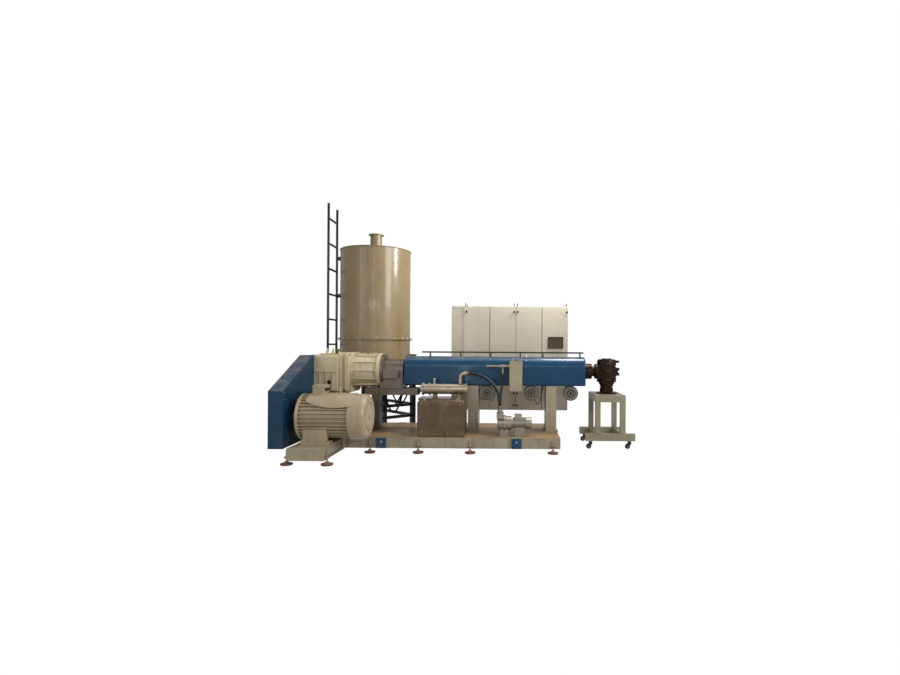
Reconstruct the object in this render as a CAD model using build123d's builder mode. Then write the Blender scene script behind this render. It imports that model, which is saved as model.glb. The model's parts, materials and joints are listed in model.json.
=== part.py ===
from build123d import *
import os
from math import cos, pi, radians, sin, tan

os.makedirs("parts", exist_ok=True)

# Plastic extruder. X runs along the screw towards the die, Y away from the operator, Z up.
# Lengths run from the floor, the screw axis and a point on it beside the vent box.
# The origin is on the floor, under the middle of the machine's outline.

# General
axis_height = 1070
seat_gap = 0.3
sheet = 8

# Base
base_left = -2730
base_right = 680
base_half_width = 650
rail_bottom = 60
rail_height = 140
rail_flange = 65
rail_wall = 8
deck_thickness = 6
deck_top = rail_bottom + rail_height + deck_thickness
cross_width = 70
platform_left = -2620
platform_right = -2180
platform_front = -1450
platform_beam = 90
platform_foot_inset = 60
foot_radius = 72
foot_front_xs = (-1850, -1210, -520, 580)
stem_radius = 8
lug_xs = (-1700, 95)
lug_width = 134
lug_thickness = 24
stem_offset = 20

# Drive
guard_left = -2910
guard_bottom = 167
guard_front = -1300
guard_low_top = 865
guard_slope_end = -380
guard_top = 1284
guard_back = 330
motor_y = -950
motor_z = 520
motor_radius = 250
fin_radius = 290
fin_thickness = 9
fin_count = 36
motor_body_left = -2620
motor_body_right = -1950
motor_right = -1780
hood_left = -2515
gearbox_right = -2406
gearbox_half = 330
gearbox_drop = 294
gearbox_rise = 235
flange_right = -2262
flange_half = 284
bearing_right = -1850
bearing_radius = 232

# Feed and silo
feed_right = -1530
feed_half = 160
feed_drop = 255
support_height = 100
feeder_radius = 120
feeder_x = -1680
feeder_z = 900
feeder_end = 690
riser_y = 520
riser_half = 120
silo_x = -2210
silo_y = 930
silo_radius = 556
silo_wall = 6
silo_bottom = 1180
silo_top = 2960
lower_height = 352
cone_bottom = 1030
inlet_radius = 94
inlet_wall = 5
inlet_height = 255
inlet_lip = 122
leg_size = 70
leg_reach = 62
leg_pad = 130
leg_rise = 90
ladder_x = -2815
ladder_near = 430
ladder_far = 820
ladder_top = 3620
rung_pitch = 390
rung_size = 26
stile_width = 34
stile_depth = 14

# Barrel
barrel_radius = 75
cover_left = -1500
cover_split = 176
cover_right = 1080
cover_half = 205
post_xs = (-520, 592)
post_width = 146
post_half_depth = 190
rail_z_gap = 50
rail_bar = 22
blower_xs = (-334, 310, 872)
blower_radius = 105
blower_depth = 110
blower_drop = 106

# Vent box
vent_left = -7
vent_width = 181
vent_depth = 125
vent_drop = 270
vent_rise = 144
vent_pipe_radius = 15
vent_pipe_rise = 74
vent_pipe_y = -270
tee_x = -100

# Cooling
tank_left = -1237
tank_width = 637
tank_inset = 30
tank_depth = 360
tank_top = 690
cooler_radius = 70
cooler_z = 835
elbow_x = -680
elbow_top = 1050
pump_inset = 155
pump_z = 382
port_x = -128
port_top = 590
port_spread = 75
suction_radius = 21
vent_hose_radius = 15

# Cabinet
cabinet_front = 680
cabinet_depth = 400
cabinet_bottom = 418
cabinet_top = 2060
cabinet_xs = (-740, 90, 920)
bay_left = -930
cabinet_wall = 12
door_thickness = 22
door_gap = 3
outrigger_xs = (-600, 680)
outrigger_width = 80

# Head and stand
head_x = 1410
head_radius = 138
head_bottom = 890
head_top = 1242
stand_half_x = 210
stand_half_y = 330
stand_leg = 70
stand_top = 738
plate_thickness = 12
stand_skirt = 84
caster_seat = 6
skid_bottom = 113
skid_height = 100
skid_half = 347
wheel_radius = 36
wheel_width = 24
caster_trail = 26
fork_clear = 5.5


gearbox_bottom = axis_height - gearbox_drop
gearbox_top = axis_height + gearbox_rise
feed_bottom = axis_height - feed_drop
blower_z = axis_height - cover_half - blower_drop
vent_bottom = axis_height - vent_drop
vent_top = axis_height + vent_rise
vent_pipe_z = axis_height + vent_pipe_rise
tank_front = tank_inset - base_half_width
cooler_y = tank_front + tank_depth / 2
pump_y = pump_inset - base_half_width
suction_y = pump_y - port_spread
vent_port_y = pump_y + port_spread
leg_ring = silo_radius + leg_reach
leg_top = silo_bottom + leg_rise
ring_height = silo_bottom + lower_height
origin_x = (guard_left + head_x + skid_half) / 2
origin_y = (platform_front + platform_foot_inset - foot_radius + silo_y + leg_ring + leg_pad / 2) / 2


def save(piece, name):
    """Place a finished piece about the origin, name it and write it out."""
    placed = piece.part.moved(Location((-origin_x, -origin_y, 0)))
    placed.label = name
    export_step(placed, f"parts/{name}.step")


def tube_x(start, end, y, z, radius, mode=Mode.ADD):
    """Add a round bar along X to the active part."""
    with Locations(((start + end) / 2, y, z)):
        Cylinder(radius, end - start, rotation=(0, 90, 0), mode=mode)


def block(x0, x1, y0, y1, z0, z1, mode=Mode.ADD):
    """Add a block between two corners to the active part."""
    with Locations(((x0 + x1) / 2, (y0 + y1) / 2, (z0 + z1) / 2)):
        Box(x1 - x0, y1 - y0, z1 - z0, mode=mode)


# Base: two channel rails with lifting lugs, cross members, and the cabinet's outriggers with their legs
cabinet_back = cabinet_front + cabinet_depth
rail_top = rail_bottom + rail_height
rail_middle = rail_bottom + rail_height / 2
with BuildPart() as base_rails:
    for side in (-1, 1):
        with BuildSketch(Plane.YZ.offset(base_left)):
            with Locations((side * (base_half_width - rail_flange / 2), rail_middle)):
                Rectangle(rail_flange, rail_height)
            with Locations((side * (base_half_width - rail_wall - rail_flange / 2), rail_middle)):
                Rectangle(rail_flange, rail_height - 2 * rail_wall, mode=Mode.SUBTRACT)
        extrude(amount=base_right - base_left)
    for x in lug_xs:
        for side in (-1, 1):
            y = side * base_half_width
            y0, y1 = sorted((y, y + side * lug_thickness))
            block(x - lug_width / 2, x + lug_width / 2, y0, y1, rail_bottom + 6, rail_top + 6)
            with BuildSketch(Plane((x, y + side * lug_thickness, rail_bottom + 60), x_dir=(1, 0, 0),
                                   z_dir=(0, side, 0))):
                Circle(24)
            extrude(amount=10)
save(base_rails, "base_rails")

cross_xs = (base_left, (base_left + base_right) / 2 - 500, -500, base_right - cross_width)
with BuildPart() as cross_members:
    inner = base_half_width - rail_wall
    for x in cross_xs:
        block(x, x + cross_width, -inner, inner, rail_bottom + rail_wall, rail_top - rail_wall)
save(cross_members, "cross_members")

cap_bottom = cabinet_bottom - 50
half = outrigger_width / 2
with BuildPart() as cabinet_legs:
    for x in outrigger_xs:
        block(x - half, x + half, base_half_width, cabinet_back, rail_bottom, rail_top)
        for y in (cabinet_front + 90, cabinet_back - 50):
            block(x - half, x + half, y - half, y + half, rail_top, cap_bottom)
        block(x - half, x + half, cabinet_front + 50, cabinet_back - 10, cap_bottom, cabinet_bottom)
save(cabinet_legs, "cabinet_legs")

with BuildPart() as deck_plate:
    block(base_left, base_right, -base_half_width, base_half_width, rail_top, deck_top)
save(deck_plate, "deck_plate")

# Motor platform, welded to the front rail
with BuildPart() as motor_platform:
    block(platform_left, platform_right, platform_front, -base_half_width, rail_bottom, deck_top)
    block(platform_left + platform_beam, platform_right - platform_beam,
          platform_front + platform_beam, -base_half_width - platform_beam,
          rail_bottom, rail_top, mode=Mode.SUBTRACT)
    for x in (platform_left, platform_right):
        block(x - 30, x + 30, platform_front + platform_beam, -base_half_width - platform_beam,
              rail_bottom + rail_wall, rail_top - rail_wall, mode=Mode.SUBTRACT)
save(motor_platform, "motor_platform")

# Levelling feet: pad, stem and a lug that is welded to the rail
foot_places = [(x, side * base_half_width, side) for x in foot_front_xs for side in (-1, 1)]
foot_places += [(base_left + 90, base_half_width, 1)]
with BuildPart() as leveling_feet:
    for x, y, side in foot_places:
        stem_y = y + side * stem_offset
        with BuildSketch(Plane((x, stem_y, 0), x_dir=(1, 0, 0), z_dir=(0, -1, 0))):
            with BuildLine():
                Polyline((0, 0), (foot_radius - 6, 0), (foot_radius, 8), (foot_radius, 20),
                         (22, 32), (22, 46), (stem_radius, 46), (stem_radius, 175), (0, 175), (0, 0))
            make_face()
        revolve(axis=Axis((x, stem_y, 0), (0, 0, 1)))
        block(x - 30, x + 30, min(y, y + side * 42), max(y, y + side * 42), 84, 98)
    for x in (platform_right, platform_left):
        side = 1 if x == platform_right else -1
        stem_x = x + side * stem_offset
        y = platform_front + platform_foot_inset
        with BuildSketch(Plane((stem_x, y, 0), x_dir=(1, 0, 0), z_dir=(0, -1, 0))):
            with BuildLine():
                Polyline((0, 0), (foot_radius - 6, 0), (foot_radius, 8), (foot_radius, 20),
                         (22, 32), (22, 46), (stem_radius, 46), (stem_radius, 175), (0, 175), (0, 0))
            make_face()
        revolve(axis=Axis((stem_x, y, 0), (0, 0, 1)))
        block(min(x, x + side * 42), max(x, x + side * 42), y - 30, y + 30, 84, 98)
    for x in outrigger_xs:
        with BuildSketch(Plane.XY):
            with Locations((x, cabinet_back - 80)):
                Circle(foot_radius)
        extrude(amount=20)
        with BuildSketch(Plane.XY):
            with Locations((x, cabinet_back - 80)):
                Circle(22)
        extrude(amount=rail_bottom)
save(leveling_feet, "leveling_feet")

# Belt guard: a sloped closed housing with louvre slots beside the motor
guard_right = base_left
with BuildPart() as belt_guard:
    with BuildSketch(Plane.YZ.offset(guard_left)):
        with BuildLine():
            Polyline((guard_front, guard_bottom), (guard_front, guard_low_top),
                     (guard_slope_end, guard_top), (guard_back, guard_top),
                     (guard_back, guard_bottom), (guard_front, guard_bottom))
        make_face()
    extrude(amount=guard_right - guard_left)
    fillet(belt_guard.edges().filter_by(Axis.X).group_by(Axis.Z)[-1], 12)
    for row in range(7):
        z = 545 + row * 42
        block(guard_right - 14, guard_right, -1265, motor_y + 120, z, z + 16, mode=Mode.SUBTRACT)
        block(guard_left, guard_left + 14, -1200, -700, z, z + 16, mode=Mode.SUBTRACT)
save(belt_guard, "belt_guard")

# Motor: ribbed body with end shields, shaft end and cast feet
with BuildPart() as motor_body:
    tube_x(motor_body_left, motor_body_right, motor_y, motor_z, motor_radius)
    tube_x(motor_body_left, motor_body_left + 34, motor_y, motor_z, fin_radius)
    tube_x(motor_body_right - 34, motor_body_right, motor_y, motor_z, fin_radius)
    with BuildSketch(Plane.YZ.offset(motor_body_left + 34)):
        with Locations((motor_y, motor_z)):
            for number in range(fin_count):
                angle = 360 * (number + 0.5) / fin_count
                if not 235 < angle < 305:
                    with Locations(Location((0, 0), angle)):
                        with Locations(((motor_radius + fin_radius) / 2 - 4, 0)):
                            Rectangle(fin_radius - motor_radius + 4, fin_thickness)
    extrude(amount=motor_body_right - motor_body_left - 68)
    with BuildSketch(Plane.YZ.offset(motor_body_left)):
        with Locations((motor_y, motor_z)):
            Circle(235)
    with BuildSketch(Plane.YZ.offset(guard_right + 30)):
        with Locations((motor_y, motor_z)):
            Circle(120)
    loft()
    tube_x(guard_right, guard_right + 30, motor_y, motor_z, 50)
    for side in (-1, 1):
        foot_y = motor_y + side * 205
        block(motor_body_left + 60, platform_right - 20, foot_y - 55, foot_y + 55, deck_top, deck_top + 36)
        block(motor_body_left + 90, platform_right - 60, foot_y - 40, foot_y + 25, deck_top, motor_z - 100)
save(motor_body, "motor_body")

with BuildPart() as motor_cowl:
    with BuildSketch(Plane.XZ.offset(-motor_y)):
        with BuildLine():
            Line((motor_body_right, motor_z), (motor_body_right, motor_z + 286))
            Line((motor_body_right, motor_z + 286), (motor_right - 60, motor_z + 286))
            RadiusArc((motor_right - 60, motor_z + 286), (motor_right, motor_z + 226), 60)
            Line((motor_right, motor_z + 226), (motor_right, motor_z))
            Line((motor_right, motor_z), (motor_body_right, motor_z))
        make_face()
    revolve(axis=Axis((0, motor_y, motor_z), (1, 0, 0)))
    with BuildSketch(Plane.YZ.offset(motor_right)):
        with Locations((motor_y, motor_z)):
            for radius in (60, 100, 140, 180):
                Circle(radius)
                Circle(radius - 16, mode=Mode.SUBTRACT)
            Rectangle(460, 14, mode=Mode.SUBTRACT)
            Rectangle(14, 460, mode=Mode.SUBTRACT)
    extrude(amount=-10, mode=Mode.SUBTRACT)
save(motor_cowl, "motor_cowl")

# Motor hood: a sheet saddle over the fins with an arched lower edge and the terminal box on top
hood_radius = fin_radius + seat_gap
hood_mid = (hood_left + motor_right) / 2
with BuildPart() as motor_hood:
    tube_x(hood_left, motor_body_right, motor_y, motor_z, hood_radius + sheet)
    for length, width, bottom, top in ((150, 180, 0, 400), (162, 192, 376, 386)):
        with BuildSketch(Plane.XY.offset(motor_z + bottom)):
            with Locations((hood_left + 110, motor_y)):
                RectangleRounded(length, width, 14)
        extrude(amount=top - bottom)
    with BuildSketch(Plane.YZ.offset(hood_left)):
        with Locations((motor_y, motor_z)):
            Circle(hood_radius)
    extrude(amount=motor_body_right - hood_left, mode=Mode.SUBTRACT)
    with BuildSketch(Plane.XZ.offset(-motor_y - 400)):
        with BuildLine():
            ThreePointArc((hood_left - 20, motor_z + 222), (hood_mid, motor_z + 138),
                          (motor_right + 20, motor_z + 222))
            Line((motor_right + 20, motor_z + 222), (motor_right + 20, motor_z - 400))
            Line((motor_right + 20, motor_z - 400), (hood_left - 20, motor_z - 400))
            Line((hood_left - 20, motor_z - 400), (hood_left - 20, motor_z + 222))
        make_face()
    extrude(amount=800, mode=Mode.SUBTRACT)
save(motor_hood, "motor_hood")

# Gearbox: ribbed housing with a split flange, square cast flange and round bearing housing
with BuildPart() as gearbox_housing:
    block(guard_right, gearbox_right, -gearbox_half, gearbox_half, gearbox_bottom, gearbox_top - 20)
    fillet(gearbox_housing.edges().filter_by(Axis.X), 28)
    block(guard_right + 6, gearbox_right - 10, -gearbox_half - 20, gearbox_half + 20,
          axis_height - 18, axis_height + 18)
    block(guard_right + 30, gearbox_right - 40, -200, 200, gearbox_top - 30, gearbox_top)
    for x in (guard_right + 80, guard_right + 170, guard_right + 260):
        block(x - 9, x + 9, -gearbox_half - 14, gearbox_half + 14, gearbox_bottom + 40, axis_height)
    for y in (-120, 120):
        with BuildSketch(Plane.XY.offset(gearbox_top)):
            with Locations((guard_right + 110, y)):
                Circle(22)
        extrude(amount=28)
    with BuildSketch(Plane.YZ.offset(gearbox_right)):
        with Locations((0, axis_height - 30)):
            RectangleRounded(2 * flange_half, 2 * flange_half, 60)
    extrude(amount=flange_right - gearbox_right)
    with BuildSketch(Plane.YZ.offset(gearbox_right + 52)):
        with Locations((0, axis_height - 30)):
            RectangleRounded(2 * flange_half, 2 * flange_half, 60)
            RectangleRounded(2 * flange_half - 50, 2 * flange_half - 50, 45, mode=Mode.SUBTRACT)
    extrude(amount=40, mode=Mode.SUBTRACT)
save(gearbox_housing, "gearbox_housing")

with BuildPart() as bearing_housing:
    with BuildSketch(Plane.XZ):
        with BuildLine():
            Polyline((flange_right, axis_height), (flange_right, axis_height + bearing_radius + 18),
                     (flange_right + 34, axis_height + bearing_radius + 18),
                     (flange_right + 34, axis_height + bearing_radius),
                     (bearing_right - 70, axis_height + bearing_radius - 14),
                     (bearing_right - 48, axis_height + bearing_radius + 12),
                     (bearing_right, axis_height + bearing_radius + 12),
                     (bearing_right, axis_height), (flange_right, axis_height))
        make_face()
    revolve(axis=Axis((0, 0, axis_height), (1, 0, 0)))
    with BuildSketch(Plane.YZ.offset(flange_right + 30)):
        with Locations((0, axis_height)):
            with PolarLocations(bearing_radius - 4, 12):
                Rectangle(36, 14)
    extrude(amount=bearing_right - flange_right - 84)
save(bearing_housing, "bearing_housing")

# Pedestal under the gearbox: two cheeks joined by a top and a bottom plate
with BuildPart() as gearbox_pedestal:
    block(guard_right + 30, gearbox_right - 16, -270, 270, deck_top, gearbox_bottom)
    block(guard_right + 60, gearbox_right - 46, -270, 270, deck_top + 24, gearbox_bottom - 24,
          mode=Mode.SUBTRACT)
    block(guard_right + 30, gearbox_right - 16, -12, 12, deck_top, gearbox_bottom)
save(gearbox_pedestal, "gearbox_pedestal")

# Feed housing: bored block with a round top and a flange for the bearing housing
with BuildPart() as feed_housing:
    block(bearing_right, feed_right, -feed_half, feed_half, feed_bottom, axis_height)
    tube_x(bearing_right, feed_right, 0, axis_height, feed_half)
    tube_x(bearing_right, bearing_right + 40, 0, axis_height, bearing_radius - 4)
    with BuildSketch(Plane.YZ.offset(bearing_right)):
        with Locations((0, axis_height)):
            Circle(barrel_radius + seat_gap)
    extrude(amount=feed_right - bearing_right, mode=Mode.SUBTRACT)
save(feed_housing, "feed_housing")

# Support beam and its column under the feed housing
beam_left = -2080
beam_right = -1325
with BuildPart() as support_beam:
    block(beam_left, beam_right, -115, 115, feed_bottom - support_height, feed_bottom)
    block(beam_left - 1, beam_right + 1, -103, 103, feed_bottom - support_height + 12,
          feed_bottom - 12, mode=Mode.SUBTRACT)
    block(bearing_right - 140, bearing_right - 30, -90, 90, deck_top, feed_bottom - support_height)
save(support_beam, "support_beam")

# Feeder tube from the silo cone into the back of the feed housing
with BuildPart() as feeder_tube:
    with BuildSketch(Plane.XZ.offset(-feed_half)):
        with Locations((feeder_x, feeder_z)):
            Circle(feeder_radius)
    extrude(amount=-(feeder_end - feed_half))
    with BuildSketch(Plane.XZ.offset(-feeder_end)):
        with Locations((feeder_x, feeder_z)):
            Circle(feeder_radius + 8)
    extrude(amount=-20)
    block(feeder_x - riser_half, feeder_x + riser_half, riser_y - riser_half, riser_y + riser_half,
          feeder_z, cone_bottom)
    with Locations((feeder_x, riser_y, (feeder_z + cone_bottom) / 2 + 1)):
        Cylinder(riser_half - silo_wall, cone_bottom - feeder_z, mode=Mode.SUBTRACT)
save(feeder_tube, "feeder_tube")

# Silo cone: an eccentric funnel from the shell down to the feeder
with BuildPart() as silo_cone:
    with BuildSketch(Plane.XY.offset(silo_bottom)):
        with Locations((silo_x, silo_y)):
            Circle(silo_radius)
    with BuildSketch(Plane.XY.offset(cone_bottom)):
        with Locations((feeder_x, riser_y)):
            Circle(riser_half)
    loft(ruled=True)
    with BuildSketch(Plane.XY.offset(silo_bottom)):
        with Locations((silo_x, silo_y)):
            Circle(silo_radius - silo_wall)
    with BuildSketch(Plane.XY.offset(cone_bottom)):
        with Locations((feeder_x, riser_y)):
            Circle(riser_half - silo_wall)
    loft(ruled=True, mode=Mode.SUBTRACT)
save(silo_cone, "silo_cone")

# Silo shell in two sections, bolted at a flange ring, with lugs that sit on the legs
leg_angles = (0, 90, 180, 270)
with BuildPart() as silo_lower:
    with BuildSketch(Plane.XY.offset(silo_bottom)):
        with Locations((silo_x, silo_y)):
            Circle(silo_radius)
    extrude(amount=ring_height - silo_bottom)
    with BuildSketch(Plane.XY.offset(ring_height - 12)):
        with Locations((silo_x, silo_y)):
            Circle(silo_radius + 30)
    extrude(amount=12)
    for angle in leg_angles:
        with Locations(Location((silo_x, silo_y, leg_top + 10), (0, 0, angle))):
            with Locations((leg_ring - 20, 0, 0)):
                Box(140, 100, 20)
    with BuildSketch(Plane.XY.offset(silo_bottom)):
        with Locations((silo_x, silo_y)):
            Circle(silo_radius - silo_wall)
    extrude(amount=ring_height - silo_bottom, mode=Mode.SUBTRACT)
save(silo_lower, "silo_lower")

with BuildPart() as silo_upper:
    with BuildSketch(Plane.XY.offset(ring_height)):
        with Locations((silo_x, silo_y)):
            Circle(silo_radius)
    extrude(amount=silo_top - ring_height)
    with BuildSketch(Plane.XY.offset(ring_height)):
        with Locations((silo_x, silo_y)):
            Circle(silo_radius + 30)
    extrude(amount=12)
    with BuildSketch(Plane.XY.offset(ring_height)):
        with Locations((silo_x, silo_y)):
            Circle(silo_radius - silo_wall)
    extrude(amount=silo_top - ring_height, mode=Mode.SUBTRACT)
save(silo_upper, "silo_upper")

# Silo roof: a low cone with a round hole for the inlet
roof_rise = 26
inlet_bore = inlet_radius - inlet_wall
with BuildPart() as silo_roof:
    with BuildSketch(Plane.XZ.offset(-silo_y)):
        with BuildLine():
            Polyline((silo_x + inlet_bore, silo_top + roof_rise - silo_wall),
                     (silo_x + silo_radius - 60, silo_top), (silo_x + silo_radius + 6, silo_top),
                     (silo_x + silo_radius + 6, silo_top + silo_wall),
                     (silo_x + silo_radius - 60, silo_top + silo_wall),
                     (silo_x + inlet_radius + 24, silo_top + roof_rise),
                     (silo_x + inlet_bore, silo_top + roof_rise),
                     (silo_x + inlet_bore, silo_top + roof_rise - silo_wall))
        make_face()
    revolve(axis=Axis((silo_x, silo_y, 0), (0, 0, 1)))
save(silo_roof, "silo_roof")

inlet_base = silo_top + roof_rise
with BuildPart() as inlet_tube:
    with BuildSketch(Plane.XZ.offset(-silo_y)):
        with BuildLine():
            Polyline((silo_x + inlet_bore, inlet_base), (silo_x + inlet_radius + 20, inlet_base),
                     (silo_x + inlet_radius + 20, inlet_base + 6), (silo_x + inlet_radius, inlet_base + 6),
                     (silo_x + inlet_radius, inlet_base + inlet_height - 12),
                     (silo_x + inlet_lip, inlet_base + inlet_height - 12),
                     (silo_x + inlet_lip, inlet_base + inlet_height),
                     (silo_x + inlet_bore, inlet_base + inlet_height), (silo_x + inlet_bore, inlet_base))
        make_face()
    revolve(axis=Axis((silo_x, silo_y, 0), (0, 0, 1)))
save(inlet_tube, "inlet_tube")

# Silo legs: square tubes turned to face each other, the front one on the deck, and two rings of braces
with BuildPart() as silo_legs:
    for angle in leg_angles:
        foot_z = deck_top if angle == 270 else 0
        leg_x = silo_x + leg_ring * cos(radians(angle))
        leg_y = silo_y + leg_ring * sin(radians(angle))
        with Locations(Location((leg_x, leg_y, (foot_z + leg_top) / 2), (0, 0, 45))):
            Box(leg_size, leg_size, leg_top - foot_z)
        with Locations((leg_x, leg_y, foot_z + 6)):
            Box(leg_pad, leg_pad, 12)
save(silo_legs, "silo_legs")

brace_length = leg_ring * 2 ** 0.5 - leg_size
with BuildPart() as silo_braces:
    for level in (290, 470):
        for angle in leg_angles:
            middle = radians(angle + 45)
            reach = leg_ring * cos(pi / 4)
            brace_x = silo_x + reach * cos(middle)
            brace_y = silo_y + reach * sin(middle)
            with Locations(Location((brace_x, brace_y, level), (0, 0, angle + 135))):
                Box(brace_length, 36, 46)
save(silo_braces, "silo_braces")

# Ladder: two flat stiles, one clamped to the shell, with square rungs between them
rung_count = int((ladder_top - 200) / rung_pitch)
with BuildPart() as ladder_stiles:
    for y in (ladder_near, ladder_far):
        block(ladder_x - stile_width / 2, ladder_x + stile_width / 2, y - stile_depth / 2,
              y + stile_depth / 2, 0, ladder_top)
    for z in (ring_height + 698, silo_top - 130):
        block(ladder_x, silo_x - silo_radius + 40, ladder_far - 7, ladder_far + 33, z - 30, z + 30)
    with Locations((silo_x, silo_y, (ring_height + silo_top) / 2)):
        Cylinder(silo_radius + seat_gap, silo_top - ring_height, mode=Mode.SUBTRACT)
save(ladder_stiles, "ladder_stiles")

with BuildPart() as ladder_rungs:
    for number in range(rung_count + 1):
        z = ladder_top - 230 - number * rung_pitch
        block(ladder_x - rung_size / 2, ladder_x + rung_size / 2, ladder_near + stile_depth / 2,
              ladder_far - stile_depth / 2, z - rung_size / 2, z + rung_size / 2)
save(ladder_rungs, "ladder_rungs")

# Barrel inside the covers
barrel_end = 1168
with BuildPart() as barrel:
    tube_x(bearing_right, barrel_end - 30, 0, axis_height, barrel_radius)
    tube_x(barrel_end - 70, barrel_end, 0, axis_height, 112)
    with BuildSketch(Plane.YZ.offset(barrel_end - 70)):
        with Locations((0, axis_height)):
            with PolarLocations(92, 8):
                Circle(9)
    extrude(amount=-14)
save(barrel, "barrel")


def cover_profile(inset):
    """Outline of the barrel cover: flat sides and a round top."""
    half = cover_half - inset
    top_round = 150 - inset
    with BuildSketch() as outline:
        with Locations((0, axis_height)):
            Rectangle(2 * half, 2 * half)
        fillet(outline.vertices().group_by(Axis.Y)[-1], top_round)
        fillet(outline.vertices().group_by(Axis.Y)[0], max(24 - inset, 4))
    return outline.sketch


# Barrel covers: sheet hoods with end walls bored for the barrel
end_round = 22
cover_parts = {"barrel_cover_rear": (cover_left, cover_split - 3),
               "barrel_cover_front": (cover_split, cover_right)}
for name, (start, end) in cover_parts.items():
    with BuildPart() as cover:
        with BuildSketch(Plane.YZ.offset(start)):
            add(cover_profile(0))
        extrude(amount=end - start)
        if end == cover_right:
            fillet(cover.faces().sort_by(Axis.X)[-1].edges(), end_round)
        with BuildSketch(Plane.YZ.offset(start + sheet)):
            add(cover_profile(sheet))
        extrude(amount=end - start - sheet - end_round, mode=Mode.SUBTRACT)
        tube_x(start - 1, end + 1, 0, axis_height, barrel_radius + seat_gap, mode=Mode.SUBTRACT)
    save(cover, name)

# Bar on stand-offs along the covers
bar_z = axis_height + cover_half + rail_z_gap
with BuildPart() as cover_rail:
    block(cover_left + 220, cover_right - 10, -rail_bar, rail_bar, bar_z, bar_z + rail_bar)
    for x in (-1160, -720, -280, 150, 480, 1020):
        block(x - 9, x + 9, -9, 9, axis_height + cover_half, bar_z)
save(cover_rail, "cover_rail")

# Posts under the barrel covers
post_top = axis_height - cover_half
with BuildPart() as barrel_posts:
    for x in post_xs:
        block(x - post_width / 2, x + post_width / 2, -post_half_depth, post_half_depth, deck_top, post_top)
        block(x - post_width / 2 - 30, x + post_width / 2 + 30, -post_half_depth, post_half_depth,
              deck_top, deck_top + 14)
save(barrel_posts, "barrel_posts")

# Blowers: round volutes with a duct up to the cover and a ringed inlet
with BuildPart() as blowers:
    for x in blower_xs:
        front = -145
        with BuildSketch(Plane.XZ.offset(-front - blower_depth)):
            with Locations((x, blower_z)):
                Circle(blower_radius)
        extrude(amount=blower_depth)
        block(x - 70, x + 10, front + 15, front + blower_depth - 15, blower_z, post_top)
        with BuildSketch(Plane.XZ.offset(-front)):
            with Locations((x, blower_z)):
                for radius in (88, 64):
                    Circle(radius)
                    Circle(radius - 12, mode=Mode.SUBTRACT)
        extrude(amount=-8, mode=Mode.SUBTRACT)
        with BuildSketch(Plane.XZ.offset(-front)):
            with Locations((x, blower_z)):
                Circle(34)
        extrude(amount=12)
        with BuildSketch(Plane.XZ.offset(-front - blower_depth)):
            with Locations((x, blower_z)):
                Circle(62)
        extrude(amount=-130)
save(blowers, "blowers")

# Vent box on the side of the covers
vent_front = -cover_half - vent_depth
with BuildPart() as vent_box:
    block(vent_left, vent_left + vent_width, vent_front, -cover_half, vent_bottom, vent_top)
    fillet(vent_box.edges().filter_by(Axis.Z), 8)
    for x in (vent_left + 34, vent_left + vent_width - 40):
        with BuildSketch(Plane.XY.offset(vent_top)):
            with Locations((x, vent_front + 50)):
                Circle(10)
        extrude(amount=14)
        with BuildSketch(Plane.XY.offset(vent_top + 10)):
            with Locations((x, vent_front + 50)):
                RegularPolygon(26, 8)
        extrude(amount=24)
save(vent_box, "vent_box")

vent_hose_top = 1058
with BuildPart() as vent_pipe:
    tube_x(-310, vent_left, vent_pipe_y, vent_pipe_z, vent_pipe_radius)
    tube_x(-322, -300, vent_pipe_y, vent_pipe_z, vent_pipe_radius + 6)
    tube_x(vent_left - 14, vent_left, vent_pipe_y, vent_pipe_z, vent_pipe_radius + 10)
    tube_x(tee_x - 30, tee_x + 30, vent_pipe_y, vent_pipe_z, vent_pipe_radius + 7)
    with BuildSketch(Plane.XY.offset(vent_hose_top)):
        with Locations((tee_x, vent_pipe_y)):
            Circle(vent_pipe_radius)
    extrude(amount=vent_pipe_z - vent_hose_top)
    with BuildSketch(Plane.XY.offset(vent_hose_top)):
        with Locations((tee_x, vent_pipe_y)):
            RegularPolygon(24, 6)
    extrude(amount=26)
save(vent_pipe, "vent_pipe")

# Cooling tank: a closed steel box with rolled corners, a lid and saddles for the cooler
tank_back = tank_front + tank_depth
tank_right = tank_left + tank_width
with BuildPart() as cooling_tank:
    block(tank_left, tank_right, tank_front, tank_back, deck_top, tank_top)
    fillet(cooling_tank.edges().filter_by(Axis.Y), 36)
    fillet(cooling_tank.faces().sort_by(Axis.Y)[0].edges(), 8)
    block(tank_left + 10, tank_right - 10, tank_front + 30, tank_back - 30, tank_top, tank_top + 30)
    for x in (tank_left + 190, tank_right - 110):
        block(x, x + 50, cooler_y - 60, cooler_y + 60, tank_top, cooler_z - cooler_radius + 6)
    tube_x(tank_left + 60, tank_right, cooler_y, cooler_z, cooler_radius + seat_gap, mode=Mode.SUBTRACT)
save(cooling_tank, "cooling_tank")

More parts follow.
